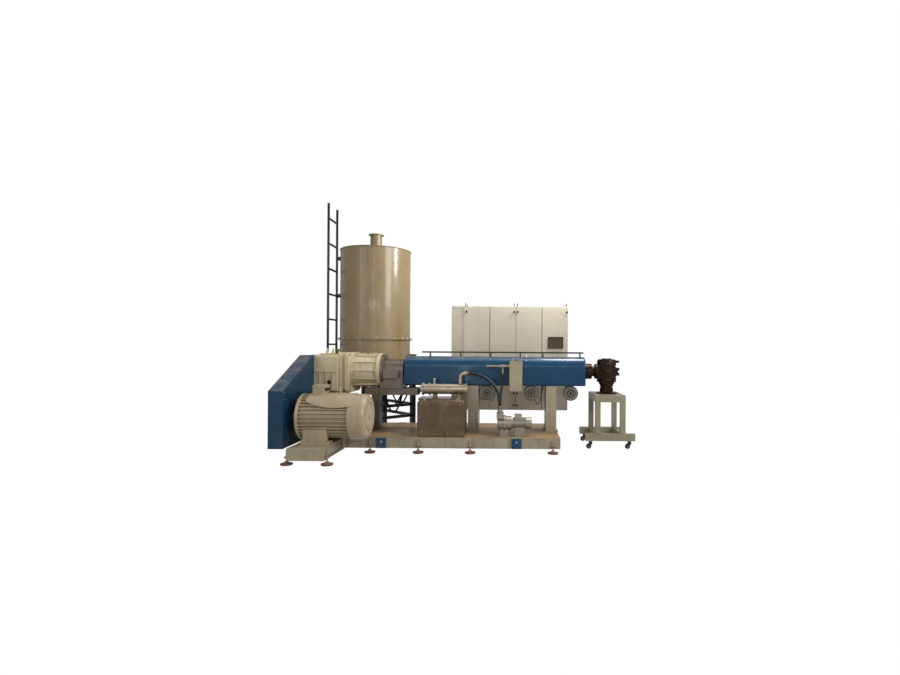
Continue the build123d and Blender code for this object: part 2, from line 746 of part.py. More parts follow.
# Cooler: a flanged cylinder over the tank with an elbow for the suction hose
elbow_bend = 60
with BuildPart() as cooler:
    tube_x(tank_left + 40, tank_right + 10, cooler_y, cooler_z, cooler_radius)
    for x in (tank_left + 40, tank_left + 130, tank_right - 10):
        tube_x(x, x + 20, cooler_y, cooler_z, cooler_radius + 14)
    tube_x(tank_left + 10, tank_left + 40, cooler_y, cooler_z, cooler_radius - 26)
    tube_x(tank_right + 10, tank_right + 26, cooler_y, cooler_z, cooler_radius - 20)
    with BuildLine():
        FilletPolyline((elbow_x, cooler_y, cooler_z + cooler_radius - 2), (elbow_x, cooler_y, elbow_top),
                       (elbow_x + elbow_bend + 20, cooler_y, elbow_top), radius=elbow_bend)
    with BuildSketch(Plane.XY.offset(cooler_z + cooler_radius - 2)):
        with Locations((elbow_x, cooler_y)):
            Circle(24)
    sweep()
    tube_x(elbow_x + elbow_bend, elbow_x + elbow_bend + 26, cooler_y, elbow_top, 30)
    with BuildSketch(Plane.XY.offset(elbow_top - elbow_bend - 34)):
        with Locations((elbow_x, cooler_y)):
            RegularPolygon(32, 6)
    extrude(amount=24)
save(cooler, "cooler")

# Vacuum pump with two ports, and its ribbed motor
with BuildPart() as vacuum_pump:
    tube_x(-150, 26, pump_y, pump_z, 92)
    tube_x(-164, -150, pump_y, pump_z, 70)
    tube_x(-76, -52, pump_y, pump_z, 106)
    block(port_x - 46, port_x + 46, suction_y - 44, vent_port_y + 44, 452, 520)
    for y in (suction_y, vent_port_y):
        with BuildSketch(Plane.XY.offset(520)):
            with Locations((port_x, y)):
                Circle(27)
        extrude(amount=port_top - 520)
        with BuildSketch(Plane.XY.offset(port_top - 30)):
            with Locations((port_x, y)):
                RegularPolygon(36, 6)
        extrude(amount=20)
    block(-140, 0, pump_y - 80, pump_y + 80, deck_top, deck_top + 14)
    block(-120, -20, pump_y - 50, pump_y + 50, deck_top, pump_z - 60)
save(vacuum_pump, "vacuum_pump")

with BuildPart() as pump_motor:
    tube_x(26, 300, pump_y, pump_z, 66)
    with BuildSketch(Plane.YZ.offset(50)):
        with Locations((pump_y, pump_z)):
            with PolarLocations(70, 20):
                Rectangle(16, 5)
    extrude(amount=170)
    tube_x(230, 300, pump_y, pump_z, 78)
    fillet(pump_motor.edges().group_by(Axis.X)[-1], 16)
    block(70, 165, pump_y - 45, pump_y + 45, pump_z + 50, pump_z + 122)
    block(80, 205, pump_y - 60, pump_y + 60, deck_top, pump_z - 50)
save(pump_motor, "pump_motor")


def hose(points, radius, name):
    """Round hose of straight runs joined by tangent arcs."""
    corners = [Vector(*point) for point in points]
    radii = []
    for before, here, after in zip(corners, corners[1:], corners[2:]):
        run_in = here - before
        run_out = after - here
        half_turn = radians(run_in.get_angle(run_out) / 2)
        radii.append(0.45 * min(run_in.length, run_out.length) / tan(half_turn))
    print(name, "bend radii", [round(value) for value in radii])
    with BuildPart() as tube:
        with BuildLine() as route:
            FilletPolyline(*points, radius=radii)
        with BuildSketch(Plane(points[0], z_dir=corners[1] - corners[0])):
            Circle(radius)
        sweep()
    length = sum(edge.length for edge in route.edges())
    print(name, "length", round(length), "volume ratio", round(tube.part.volume / (pi * radius ** 2 * length), 4))
    save(tube, name)


# Hoses between the fittings and the pump ports
suction_start = elbow_x + elbow_bend + 26
suction_points = [(suction_start, cooler_y, elbow_top), (-440, cooler_y, elbow_top), (-255, -480, 945),
                  (port_x, suction_y, 770), (port_x, suction_y, port_top)]
vent_points = [(tee_x, vent_pipe_y, vent_hose_top), (tee_x, vent_pipe_y, 905), (port_x, vent_port_y, 750),
               (port_x, vent_port_y, port_top)]
hose(suction_points, suction_radius, "suction_hose")
hose(vent_points, vent_hose_radius, "vent_hose")

# Cabinet: two open shells with lifting eyes, their doors and a narrow end bay
for name, left, right in (("cabinet_left", cabinet_xs[0], cabinet_xs[1]),
                          ("cabinet_right", cabinet_xs[1], cabinet_xs[2])):
    with BuildPart() as shell:
        block(left, right, cabinet_front, cabinet_back, cabinet_bottom, cabinet_top)
        block(left + cabinet_wall, right - cabinet_wall, cabinet_front - 1, cabinet_back - cabinet_wall,
              cabinet_bottom + cabinet_wall, cabinet_top - cabinet_wall, mode=Mode.SUBTRACT)
        for x in (left + 26, right - 26):
            for y in (cabinet_front + 30, cabinet_back - 30):
                with BuildSketch(Plane.XY.offset(cabinet_top)):
                    with Locations((x, y)):
                        Circle(14)
                extrude(amount=10)
                with BuildSketch(Plane.YZ.offset(x - 5)):
                    with Locations((y, cabinet_top + 30)):
                        Circle(24)
                        Circle(13, mode=Mode.SUBTRACT)
                extrude(amount=10)
    save(shell, name)

with BuildPart() as cabinet_bay:
    block(bay_left, cabinet_xs[0], cabinet_front - door_thickness, cabinet_back, cabinet_bottom, cabinet_top)
    block(bay_left + 20, cabinet_xs[0] - 20, cabinet_front - door_thickness - 1,
          cabinet_front - door_thickness + 4, cabinet_bottom + 30, cabinet_top - 30, mode=Mode.SUBTRACT)
save(cabinet_bay, "cabinet_bay")

door_width = (cabinet_xs[1] - cabinet_xs[0]) / 2 - 2 * door_gap
door_face = cabinet_front - seat_gap - door_thickness
window_size = (230, 170)
window_z = 1490
for number in range(4):
    edge = cabinet_xs[0] + number * (cabinet_xs[1] - cabinet_xs[0]) / 2
    left = edge + door_gap
    with BuildPart() as door:
        block(left, left + door_width, door_face, cabinet_front - seat_gap, cabinet_bottom + door_gap,
              cabinet_top - door_gap)
        fillet(door.faces().sort_by(Axis.Y)[0].edges(), 4)
        handle_x = left + door_width - 26 if number in (0, 1) else left + 26
        block(handle_x - 11, handle_x + 11, door_face - 16, door_face, 790, 910)
        if number == 3:
            window_x = left + door_width / 2 + 10
            block(window_x - window_size[0] / 2, window_x + window_size[0] / 2, door_face - 1,
                  door_face + 8, window_z - window_size[1] / 2, window_z + window_size[1] / 2,
                  mode=Mode.SUBTRACT)
    save(door, f"cabinet_door_{number + 1}")

# Adapter between barrel and die head
head_face = barrel_end + 102
with BuildPart() as adapter:
    with BuildSketch(Plane.XZ):
        with BuildLine():
            Polyline((barrel_end, axis_height), (barrel_end, axis_height + 112), (head_face - 84, axis_height + 112),
                     (head_face - 72, axis_height + 72), (head_face - 44, axis_height + 72),
                     (head_face - 34, axis_height + 108),
                     (head_face, axis_height + 108), (head_face, axis_height), (barrel_end, axis_height))
        make_face()
    revolve(axis=Axis((0, 0, axis_height), (1, 0, 0)))
save(adapter, "adapter")

# Die head: stacked round body with heater bands and side blocks, on a neck over the stand
plate_top = stand_top + plate_thickness
with BuildPart() as die_head:
    with BuildSketch(Plane.XZ):
        with BuildLine():
            Polyline((head_x, head_bottom), (head_x + 112, head_bottom), (head_x + 112, head_bottom + 30),
                     (head_x + head_radius, head_bottom + 44), (head_x + head_radius, head_bottom + 130),
                     (head_x + 126, head_bottom + 134), (head_x + 126, head_bottom + 142),
                     (head_x + head_radius, head_bottom + 146), (head_x + head_radius, head_bottom + 250),
                     (head_x + 126, head_bottom + 254), (head_x + 126, head_bottom + 262),
                     (head_x + head_radius, head_bottom + 266), (head_x + head_radius, head_top - 34),
                     (head_x + 130, head_top), (head_x, head_top), (head_x, head_bottom))
        make_face()
    revolve(axis=Axis((head_x, 0, 0), (0, 0, 1)))
    block(head_face, head_x, -100, 100, axis_height - 100, axis_height + 100)
    block(head_x, head_x + 158, -50, 50, axis_height - 60, axis_height + 56)
    for z in (axis_height - 40, axis_height + 34):
        tube_x(head_x + 158, head_x + 186, 0, z, 20)
    block(head_x + 60, head_x + 176, -34, 34, head_top - 46, head_top - 12)
    with BuildSketch(Plane.XZ):
        with BuildLine():
            Polyline((head_x, plate_top), (head_x + 150, plate_top), (head_x + 150, plate_top + 14),
                     (head_x + 96, plate_top + 30), (head_x + 96, plate_top + 84),
                     (head_x + 80, plate_top + 88), (head_x + 80, plate_top + 96),
                     (head_x + 96, plate_top + 100), (head_x + 96, head_bottom), (head_x, head_bottom),
                     (head_x, plate_top))
        make_face()
    revolve(axis=Axis((head_x, 0, 0), (0, 0, 1)))
save(die_head, "die_head")

# Stand: top plate with a skirt, four legs, two skids and two crossbars
skid_top = skid_bottom + skid_height
stand_bottom = stand_top - stand_skirt
caster_reach = skid_half - 75
with BuildPart() as stand_top_frame:
    block(head_x - stand_half_x, head_x + stand_half_x, -stand_half_y, stand_half_y, stand_bottom, plate_top)
    block(head_x - stand_half_x + 10, head_x + stand_half_x - 10, -stand_half_y + 10, stand_half_y - 10,
          stand_bottom, stand_top, mode=Mode.SUBTRACT)
save(stand_top_frame, "stand_top_frame")

with BuildPart() as stand_legs:
    for side_x in (-1, 1):
        for side_y in (-1, 1):
            x0, x1 = sorted((head_x + side_x * stand_half_x, head_x + side_x * (stand_half_x - stand_leg)))
            y0, y1 = sorted((side_y * stand_half_y, side_y * (stand_half_y - stand_leg)))
            block(x0, x1, y0, y1, skid_top, stand_bottom)
save(stand_legs, "stand_legs")

with BuildPart() as stand_skids:
    for side in (-1, 1):
        y0, y1 = sorted((side * stand_half_y, side * (stand_half_y - stand_leg)))
        block(head_x - skid_half, head_x + skid_half, y0, y1, skid_bottom, skid_top)
        for side_x in (-1, 1):
            with BuildSketch(Plane.XY.offset(skid_bottom)):
                with Locations((head_x + side_x * caster_reach, (y0 + y1) / 2)):
                    Circle(32)
            extrude(amount=-caster_seat)
save(stand_skids, "stand_skids")

with BuildPart() as stand_crossbars:
    for side in (-1, 1):
        x0, x1 = sorted((head_x + side * stand_half_x, head_x + side * (stand_half_x - stand_leg)))
        block(x0, x1, -stand_half_y + stand_leg, stand_half_y - stand_leg, skid_bottom, skid_top)
save(stand_crossbars, "stand_crossbars")

# Swivel casters: a fork under each skid end and a wheel on its axle
fork_top = skid_bottom - caster_seat - seat_gap
cheek = 5
cheek_gap = wheel_width / 2 + fork_clear
axle_radius = 6
axle_proud = 3
axle_gap = 0.08
number = 0
for side_x in (-1, 1):
    for side_y in (-1, 1):
        number += 1
        pivot_x = head_x + side_x * caster_reach
        pivot_y = side_y * (stand_half_y - stand_leg / 2)
        wheel_x = pivot_x - caster_trail
        with BuildPart() as fork:
            with BuildSketch(Plane.XZ.offset(-pivot_y - cheek_gap - cheek)):
                with BuildLine():
                    Polyline((pivot_x - 24, fork_top - 8), (pivot_x + 22, fork_top - 8),
                             (pivot_x + 22, fork_top - 30), (wheel_x + 12, wheel_radius - 10),
                             (wheel_x - 12, wheel_radius - 10), (pivot_x - 24, fork_top - 30),
                             (pivot_x - 24, fork_top - 8))
                make_face()
            extrude(amount=2 * (cheek_gap + cheek))
            block(wheel_x - 60, wheel_x + 60, pivot_y - cheek_gap, pivot_y + cheek_gap, 0, fork_top - 22,
                  mode=Mode.SUBTRACT)
            with Locations((pivot_x, pivot_y, fork_top - 4)):
                Cylinder(20, 8)
            with Locations((wheel_x, pivot_y, wheel_radius)):
                Cylinder(axle_radius, 2 * (cheek_gap + cheek + axle_proud), rotation=(90, 0, 0))
        save(fork, f"caster_fork_{number}")
        with BuildPart() as wheel:
            with Locations((wheel_x, pivot_y, wheel_radius)):
                Cylinder(wheel_radius, wheel_width, rotation=(90, 0, 0))
                Cylinder(axle_radius + axle_gap, wheel_width + 2, rotation=(90, 0, 0), mode=Mode.SUBTRACT)
        save(wheel, f"caster_wheel_{number}")
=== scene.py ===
import json
from math import pi, radians
import bmesh
import bpy
import numpy as np
from mathutils import Euler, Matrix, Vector


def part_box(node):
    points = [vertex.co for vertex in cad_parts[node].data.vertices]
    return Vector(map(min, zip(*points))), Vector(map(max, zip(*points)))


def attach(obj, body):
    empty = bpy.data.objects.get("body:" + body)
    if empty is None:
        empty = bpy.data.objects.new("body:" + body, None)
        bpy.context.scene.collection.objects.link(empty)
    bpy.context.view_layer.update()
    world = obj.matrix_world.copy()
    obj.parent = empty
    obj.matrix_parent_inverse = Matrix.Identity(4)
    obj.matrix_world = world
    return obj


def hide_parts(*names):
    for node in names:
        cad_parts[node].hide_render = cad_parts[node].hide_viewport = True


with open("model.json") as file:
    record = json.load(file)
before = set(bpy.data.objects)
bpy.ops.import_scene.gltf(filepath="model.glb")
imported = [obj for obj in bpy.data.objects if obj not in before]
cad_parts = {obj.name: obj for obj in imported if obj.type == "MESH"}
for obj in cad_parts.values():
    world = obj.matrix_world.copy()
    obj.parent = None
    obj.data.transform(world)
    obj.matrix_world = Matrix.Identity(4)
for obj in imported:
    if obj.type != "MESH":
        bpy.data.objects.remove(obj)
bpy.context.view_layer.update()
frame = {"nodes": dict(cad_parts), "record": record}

# Plastic extruder: finishes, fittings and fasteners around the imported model.
# +X runs along the screw, +Y away from the operator, +Z up, all in metres.
nodes = frame["nodes"]
print("frame loaded with", len(nodes), "nodes")


def span(node):
    low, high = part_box(node)
    return np.array(low), np.array(high)


# places that several pieces share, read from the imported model
coverLow, coverHigh = span("barrel_cover_front")
rearLow, rearHigh = span("barrel_cover_rear")
screwY = (coverLow[1] + coverHigh[1]) / 2
screwZ = (coverLow[2] + coverHigh[2]) / 2
siloLow, _ = span("silo_lower")
upperLow, upperHigh = span("silo_upper")
siloX = (upperLow[0] + upperHigh[0]) / 2
siloY = (upperLow[1] + upperHigh[1]) / 2

# camera at the photograph's place and angle
camera = {"x": 0.5765, "distance": 7.4, "height": 1.416, "lens": 20.28, "roll": -0.4, "shiftX": -0.0667,
        "shiftY": 0.0106}
cameraData = bpy.data.cameras.new("camera")
cameraData.lens = camera["lens"]
cameraData.sensor_width = 36
cameraData.shift_x = camera["shiftX"]
cameraData.shift_y = camera["shiftY"]
cameraData.clip_end = 60
cameraObject = bpy.data.objects.new("camera", cameraData)
bpy.context.scene.collection.objects.link(cameraObject)
cameraObject.location = (camera["x"], screwY - camera["distance"], camera["height"])
cameraObject.rotation_euler = Euler((radians(90), radians(camera["roll"]), 0), "XYZ")
bpy.context.scene.camera = cameraObject
bpy.context.scene.view_settings.view_transform = "Standard"

# soft studio light: one broad key, a fill, and two tall strips that draw the silo's highlights
lightPlan = {
    "key": {"place": (6.4, -5.0, 4.0), "aim": (-0.5, 0, 1.0), "size": (3.2, 2.6), "power": 390},
    "fill": {"place": (-4.8, -6.0, 3.2), "aim": (-0.6, 0, 1.0), "size": (2.6, 2.6), "power": 50},
    "top": {"place": (0.0, 0.4, 7.5), "aim": (0, 0, 0.8), "size": (6.0, 4.0), "power": 110},
    "stripLeft": {"place": (-4.6, -3.6, 2.2), "aim": (-1.6, 0.8, 2.0), "size": (0.22, 3.2), "power": 14},
    "stripRight": {"place": (-0.6, -6.4, 2.2), "aim": (-1.6, 0.8, 2.2), "size": (0.12, 3.6), "power": 18},
    "siloSide": {"place": (1.6, 0.1, 3.7), "aim": (-1.6, 0.6, 2.3), "size": (0.6, 1.6), "power": 130},
    "coverLine": {"place": (0.2, -6.6, 2.6), "aim": (0.2, 0, 1.1), "size": (5.0, 0.12), "power": 30},
}
for lightName, plan in lightPlan.items():
    lightData = bpy.data.lights.new(lightName, "AREA")
    lightData.shape = "RECTANGLE"
    lightData.size, lightData.size_y = plan["size"]
    lightData.energy = plan["power"]
    lamp = bpy.data.objects.new(lightName, lightData)
    bpy.context.scene.collection.objects.link(lamp)
    lamp.location = plan["place"]
    aim = lamp.location - Vector(plan["aim"])
    lamp.rotation_euler = aim.to_track_quat("Z", "Y").to_euler()


def addNode(tree, kind, place, values=None, **settings):
    node = tree.nodes.new("ShaderNode" + kind)
    node.location = place
    for setting, value in settings.items():
        setattr(node, setting, value)
    for socket, value in (values or {}).items():
        node.inputs[socket].default_value = value
    return node


def wire(tree, *joins):
    # each join is a node, its output, the next node and its input
    for source, output, sink, entry in joins:
        tree.links.new(source.outputs[output], sink.inputs[entry])


# white to the camera, and softer as light: strength = 0.44 * camera ray + 0.56
world = bpy.data.worlds.new("paleRoom")
world.use_nodes = True
sky = world.node_tree
rays = addNode(sky, "LightPath", (-600, 0))
strength = addNode(sky, "Math", (-300, 0), {1: 0.44, 2: 0.56}, operation="MULTIPLY_ADD")
wire(sky, (rays, "Is Camera Ray", strength, 0), (strength, 0, sky.nodes["Background"], "Strength"))
sky.nodes["Background"].inputs["Color"].default_value = (1.0, 1.0, 1.0, 1)
bpy.context.scene.world = world
print("camera and lights placed")


def tone(red, green, blue):
    # display values from 0 to 255 as linear ones: the value over 255, to the power 2.2
    return tuple((np.array([red, green, blue]) / 255.0) ** 2.2) + (1.0,)


def newGroup(name, inputs, outputs):
    # inputs and outputs are (socket name, socket kind, starting value)
    tree = bpy.data.node_groups.new(name, "ShaderNodeTree")
    for label, kind, value in inputs:
        socket = tree.interface.new_socket(name=label, in_out="INPUT", socket_type="NodeSocket" + kind)
        if value is not None:
            socket.default_value = value
    for label, kind in outputs:
        tree.interface.new_socket(name=label, in_out="OUTPUT", socket_type="NodeSocket" + kind)
    source, sink = tree.nodes.new("NodeGroupInput"), tree.nodes.new("NodeGroupOutput")
    source.location, sink.location = (-900, 0), (700, 0)
    return tree, source, sink


def buildPaintSkin():
    # mottle is slow noise, streak is noise pulled long in Z, peel is the fine skin of sprayed paint
    tree, source, sink = newGroup("paintSkin", [("Vector", "Vector", None), ("Scale", "Float", 3.0)],
            [("Mottle", "Float"), ("Streak", "Float"), ("Peel", "Float")])
    mottle = addNode(tree, "TexNoise", (-400, 200), {"Detail": 5, "Roughness": 0.6})
    longer = addNode(tree, "Mapping", (-640, -100), {"Scale": (9.0, 9.0, 0.7)})
    streak = addNode(tree, "TexNoise", (-400, -100), {"Scale": 2.2, "Detail": 6})
    sharpen = addNode(tree, "MapRange", (-160, -100), {"From Min": 0.52, "From Max": 0.74})
    peel = addNode(tree, "TexNoise", (-400, -420), {"Scale": 240, "Detail": 2})
    wire(tree, (source, "Vector", mottle, "Vector"), (source, "Scale", mottle, "Scale"),
            (source, "Vector", longer, "Vector"), (longer, "Vector", streak, "Vector"),
            (streak, "Fac", sharpen, "Value"), (source, "Vector", peel, "Vector"),
            (mottle, "Fac", sink, "Mottle"), (sharpen, "Result", sink, "Streak"),
            (peel, "Fac", sink, "Peel"))
    return tree


def buildSettledDust():
    # dust lies where the surface faces up, and grime gathers towards the floor
    tree, source, sink = newGroup("settledDust", [("Vector", "Vector", None),
            ("Grime Height", "Float", 0.45)], [("Dust", "Float"), ("Grime", "Float")])
    geometry = addNode(tree, "NewGeometry", (-640, 300))
    facing = addNode(tree, "SeparateXYZ", (-440, 300))
    upward = addNode(tree, "MapRange", (-240, 300), {"From Min": 0.55, "From Max": 0.98})
    patches = addNode(tree, "TexNoise", (-440, 40), {"Scale": 7.5, "Detail": 7})
    spread = addNode(tree, "MapRange", (-240, 40), {"From Min": 0.32, "From Max": 0.72})
    dust = addNode(tree, "Math", (0, 200), operation="MULTIPLY")
    height = addNode(tree, "SeparateXYZ", (-640, -220))
    low = addNode(tree, "MapRange", (-240, -220), {"To Min": 1.0, "To Max": 0.0})
    grime = addNode(tree, "Math", (0, -160), operation="MULTIPLY")
    wire(tree, (geometry, "Normal", facing, "Vector"), (facing, "Z", upward, "Value"),
            (source, "Vector", patches, "Vector"), (patches, "Fac", spread, "Value"),
            (upward, "Result", dust, 0), (spread, "Result", dust, 1), (source, "Vector", height, "Vector"),
            (height, "Z", low, "Value"), (source, "Grime Height", low, "From Max"),
            (low, "Result", grime, 0), (spread, "Result", grime, 1), (dust, "Value", sink, "Dust"),
            (grime, "Value", sink, "Grime"))
    return tree


def buildEdgeWear():
    # a rounded normal that leaves the real one marks an edge, and noise breaks the line up; the lighter
    # colour laid there is worn edges and a painted edge highlight
    tree, source, sink = newGroup("edgeWearAndHighlight", [("Vector", "Vector", None)], [("WearAndHighlight", "Float")])
    rounded = addNode(tree, "Bevel", (-640, 200), {"Radius": 0.006}, samples=4)
    geometry = addNode(tree, "NewGeometry", (-640, 0))
    alike = addNode(tree, "VectorMath", (-420, 120), operation="DOT_PRODUCT")
    edge = addNode(tree, "MapRange", (-220, 120), {"From Min": 0.985, "From Max": 0.86})
    chips = addNode(tree, "TexNoise", (-420, -200), {"Scale": 38, "Detail": 8})
    cut = addNode(tree, "MapRange", (-220, -200), {"From Min": 0.46, "From Max": 0.6})
    both = addNode(tree, "Math", (0, 0), operation="MULTIPLY")
    wire(tree, (rounded, "Normal", alike, 0), (geometry, "Normal", alike, 1),
            (alike, "Value", edge, "Value"), (source, "Vector", chips, "Vector"),
            (chips, "Fac", cut, "Value"), (edge, "Result", both, 0), (cut, "Result", both, 1),
            (both, "Value", sink, "WearAndHighlight"))
    return tree


def buildMetalGrain():
    # fine scratches along one axis: noise on coordinates that are squeezed across it
    tree, source, sink = newGroup("metalGrain", [("Vector", "Vector", None),
            ("Stretch", "Vector", (4, 260, 260))], [("Grain", "Float"), ("Stain", "Float")])
    stretched = addNode(tree, "VectorMath", (-560, 100), operation="MULTIPLY")
    grain = addNode(tree, "TexNoise", (-340, 100), {"Scale": 1.0, "Detail": 3})
    stain = addNode(tree, "TexNoise", (-340, -160), {"Scale": 4.0, "Detail": 6, "Distortion": 0.8})
    wire(tree, (source, "Vector", stretched, 0), (source, "Stretch", stretched, 1),
            (stretched, "Vector", grain, "Vector"), (source, "Vector", stain, "Vector"),
            (grain, "Fac", sink, "Grain"), (stain, "Fac", sink, "Stain"))
    return tree


def buildCastSkin():
    # sand-cast iron: cell bumps under two octaves of noise
    tree, source, sink = newGroup("castSkin", [("Vector", "Vector", None)], [("Height", "Float")])
    cells = addNode(tree, "TexVoronoi", (-420, 100), {"Scale": 150}, feature="SMOOTH_F1")
    rough = addNode(tree, "TexNoise", (-420, -160), {"Scale": 60, "Detail": 5})
    total = addNode(tree, "Math", (-160, 0), operation="ADD")
    wire(tree, (source, "Vector", cells, "Vector"), (source, "Vector", rough, "Vector"),
            (cells, "Distance", total, 0), (rough, "Fac", total, 1), (total, "Value", sink, "Height"))
    return tree


paintSkin = buildPaintSkin()
settledDust = buildSettledDust()
edgeWearAndHighlight = buildEdgeWear()
metalGrain = buildMetalGrain()
castSkin = buildCastSkin()


def useGroup(tree, group, place, vector):
    node = addNode(tree, "Group", place, node_tree=group)
    tree.links.new(vector, node.inputs["Vector"])
    return node


def blendColour(tree, place, factor, under, over, blend="MIX"):
    # factor is a socket or a number; under and over are sockets or colours
    node = addNode(tree, "Mix", place, data_type="RGBA", blend_type=blend)
    for value, socket in ((factor, node.inputs[0]), (under, node.inputs[6]), (over, node.inputs[7])):
        if hasattr(value, "links"):
            tree.links.new(value, socket)
        else:
            socket.default_value = value
    return node.outputs[2]


def scaled(tree, place, value, amount, shift=0.0):
    node = addNode(tree, "Math", place, {1: amount, 2: shift}, operation="MULTIPLY_ADD")
    tree.links.new(value, node.inputs[0])
    return node.outputs[0]


def startMaterial(name, metallic=0.0, coat=0.0, coatRoughness=0.1):
    material = bpy.data.materials.new(name)
    material.use_nodes = True
    tree = material.node_tree
    shader = tree.nodes["Principled BSDF"]
    for socket, value in (("Metallic", metallic), ("Coat Weight", coat), ("Coat Roughness", coatRoughness),
            ("Specular IOR Level", 0.3)):
        shader.inputs[socket].default_value = value
    coordinates = addNode(tree, "TexCoord", (-1500, 0))
    return material, tree, shader, coordinates.outputs["Object"]


def addBump(tree, shader, height, strength, distance):
    bump = addNode(tree, "Bump", (-220, -420), {"Strength": strength, "Distance": distance})
    tree.links.new(height, bump.inputs["Height"])
    tree.links.new(bump.outputs["Normal"], shader.inputs["Normal"])


def layer(tree, x, mask, amount, colour, over):
    # lays one colour over another where the mask, scaled down, lets it show
    return blendColour(tree, (x, 300), scaled(tree, (x - 200, 60), mask, amount), colour, over)


def joinSkin(tree, shader, colour, mask, swing, roughness):
    # joins the colour, and a roughness that swings about its mean with the mask
    tree.links.new(colour, shader.inputs["Base Color"])
    dull = scaled(tree, (-520, -60), mask, swing, roughness - swing / 2)
    tree.links.new(dull, shader.inputs["Roughness"])


def makePaint(name, plan):
    # sprayed paint: mottled base, darker runs, dust on top, grime near the floor, chipped edges that also
    # carry a painted edge highlight
    material, tree, shader, vector = startMaterial(name, coat=plan.get("coat", 0.15))
    skin = useGroup(tree, paintSkin, (-1200, 300), vector)
    skin.inputs["Scale"].default_value = plan.get("scale", 3.0)
    dust = useGroup(tree, settledDust, (-1200, 0), vector)
    dust.inputs["Grime Height"].default_value = plan.get("grimeHeight", 0.45)
    wearAndHighlight = useGroup(tree, edgeWearAndHighlight, (-1200, -300), vector)
    colour = blendColour(tree, (-900, 300), skin.outputs["Mottle"], plan["dark"], plan["light"])
    colour = layer(tree, -700, skin.outputs["Streak"], plan.get("streak", 0.15), colour, plan["stain"])
    colour = layer(tree, -520, dust.outputs["Dust"], plan.get("dust", 0.3), colour, tone(168, 155, 134))
    colour = layer(tree, -340, dust.outputs["Grime"], plan.get("grime", 0.35), colour, tone(84, 72, 58))
    # lighter edge colour: worn edges and a painted edge highlight
    colour = layer(tree, -160, wearAndHighlight.outputs["WearAndHighlight"], plan.get("wearAndHighlight", 0.5), colour, plan["edge"])
    joinSkin(tree, shader, colour, skin.outputs["Mottle"], 0.22, plan.get("roughness", 0.38))
    if plan.get("cast"):
        height = useGroup(tree, castSkin, (-520, -420), vector).outputs["Height"]
        addBump(tree, shader, height, 0.5, 0.0012)
    else:
        addBump(tree, shader, skin.outputs["Peel"], 0.25, 0.0004)
    return material


def makeMetal(name, plan):
    # bare metal: scratches along the grain, stains that darken and dull it, bright worn edges that also
    # carry a painted edge highlight
    material, tree, shader, vector = startMaterial(name, metallic=plan.get("metallic", 1.0))
    grain = useGroup(tree, metalGrain, (-1200, 300), vector)
    grain.inputs["Stretch"].default_value = plan.get("stretch", (4, 260, 260))
    wearAndHighlight = useGroup(tree, edgeWearAndHighlight, (-1200, 0), vector)
    dust = useGroup(tree, settledDust, (-1200, -300), vector)
    colour = blendColour(tree, (-900, 300), grain.outputs["Stain"], plan["dark"], plan["light"])
    colour = layer(tree, -700, grain.outputs["Grain"], plan.get("lines", 0.3), colour, plan["dark"])
    colour = layer(tree, -520, dust.outputs["Dust"], plan.get("dust", 0.2), colour, tone(150, 138, 120))
    # lighter edge colour: worn edges and a painted edge highlight
    colour = layer(tree, -340, wearAndHighlight.outputs["WearAndHighlight"], plan.get("wearAndHighlight", 0.4), colour, plan["edge"])
    joinSkin(tree, shader, colour, grain.outputs["Stain"], 0.24, plan.get("roughness", 0.35))
    addBump(tree, shader, grain.outputs["Grain"], plan.get("bump", 0.25), 0.0004)
    return material


def makeRubber(name, plan):
    # rubber and plastic: faint mottle, dust in the grain, matte skin
    material, tree, shader, vector = startMaterial(name)
    skin = useGroup(tree, paintSkin, (-1200, 300), vector)
    skin.inputs["Scale"].default_value = plan.get("scale", 14.0)
    dust = useGroup(tree, settledDust, (-1200, 0), vector)
    colour = blendColour(tree, (-900, 300), skin.outputs["Mottle"], plan["dark"], plan["light"])
    colour = layer(tree, -700, dust.outputs["Dust"], plan.get("dust", 0.25), colour, tone(120, 112, 100))
    joinSkin(tree, shader, colour, skin.outputs["Mottle"], 0.2, plan.get("roughness", 0.55))
    addBump(tree, shader, skin.outputs["Peel"], 0.4, 0.0006)
    return material
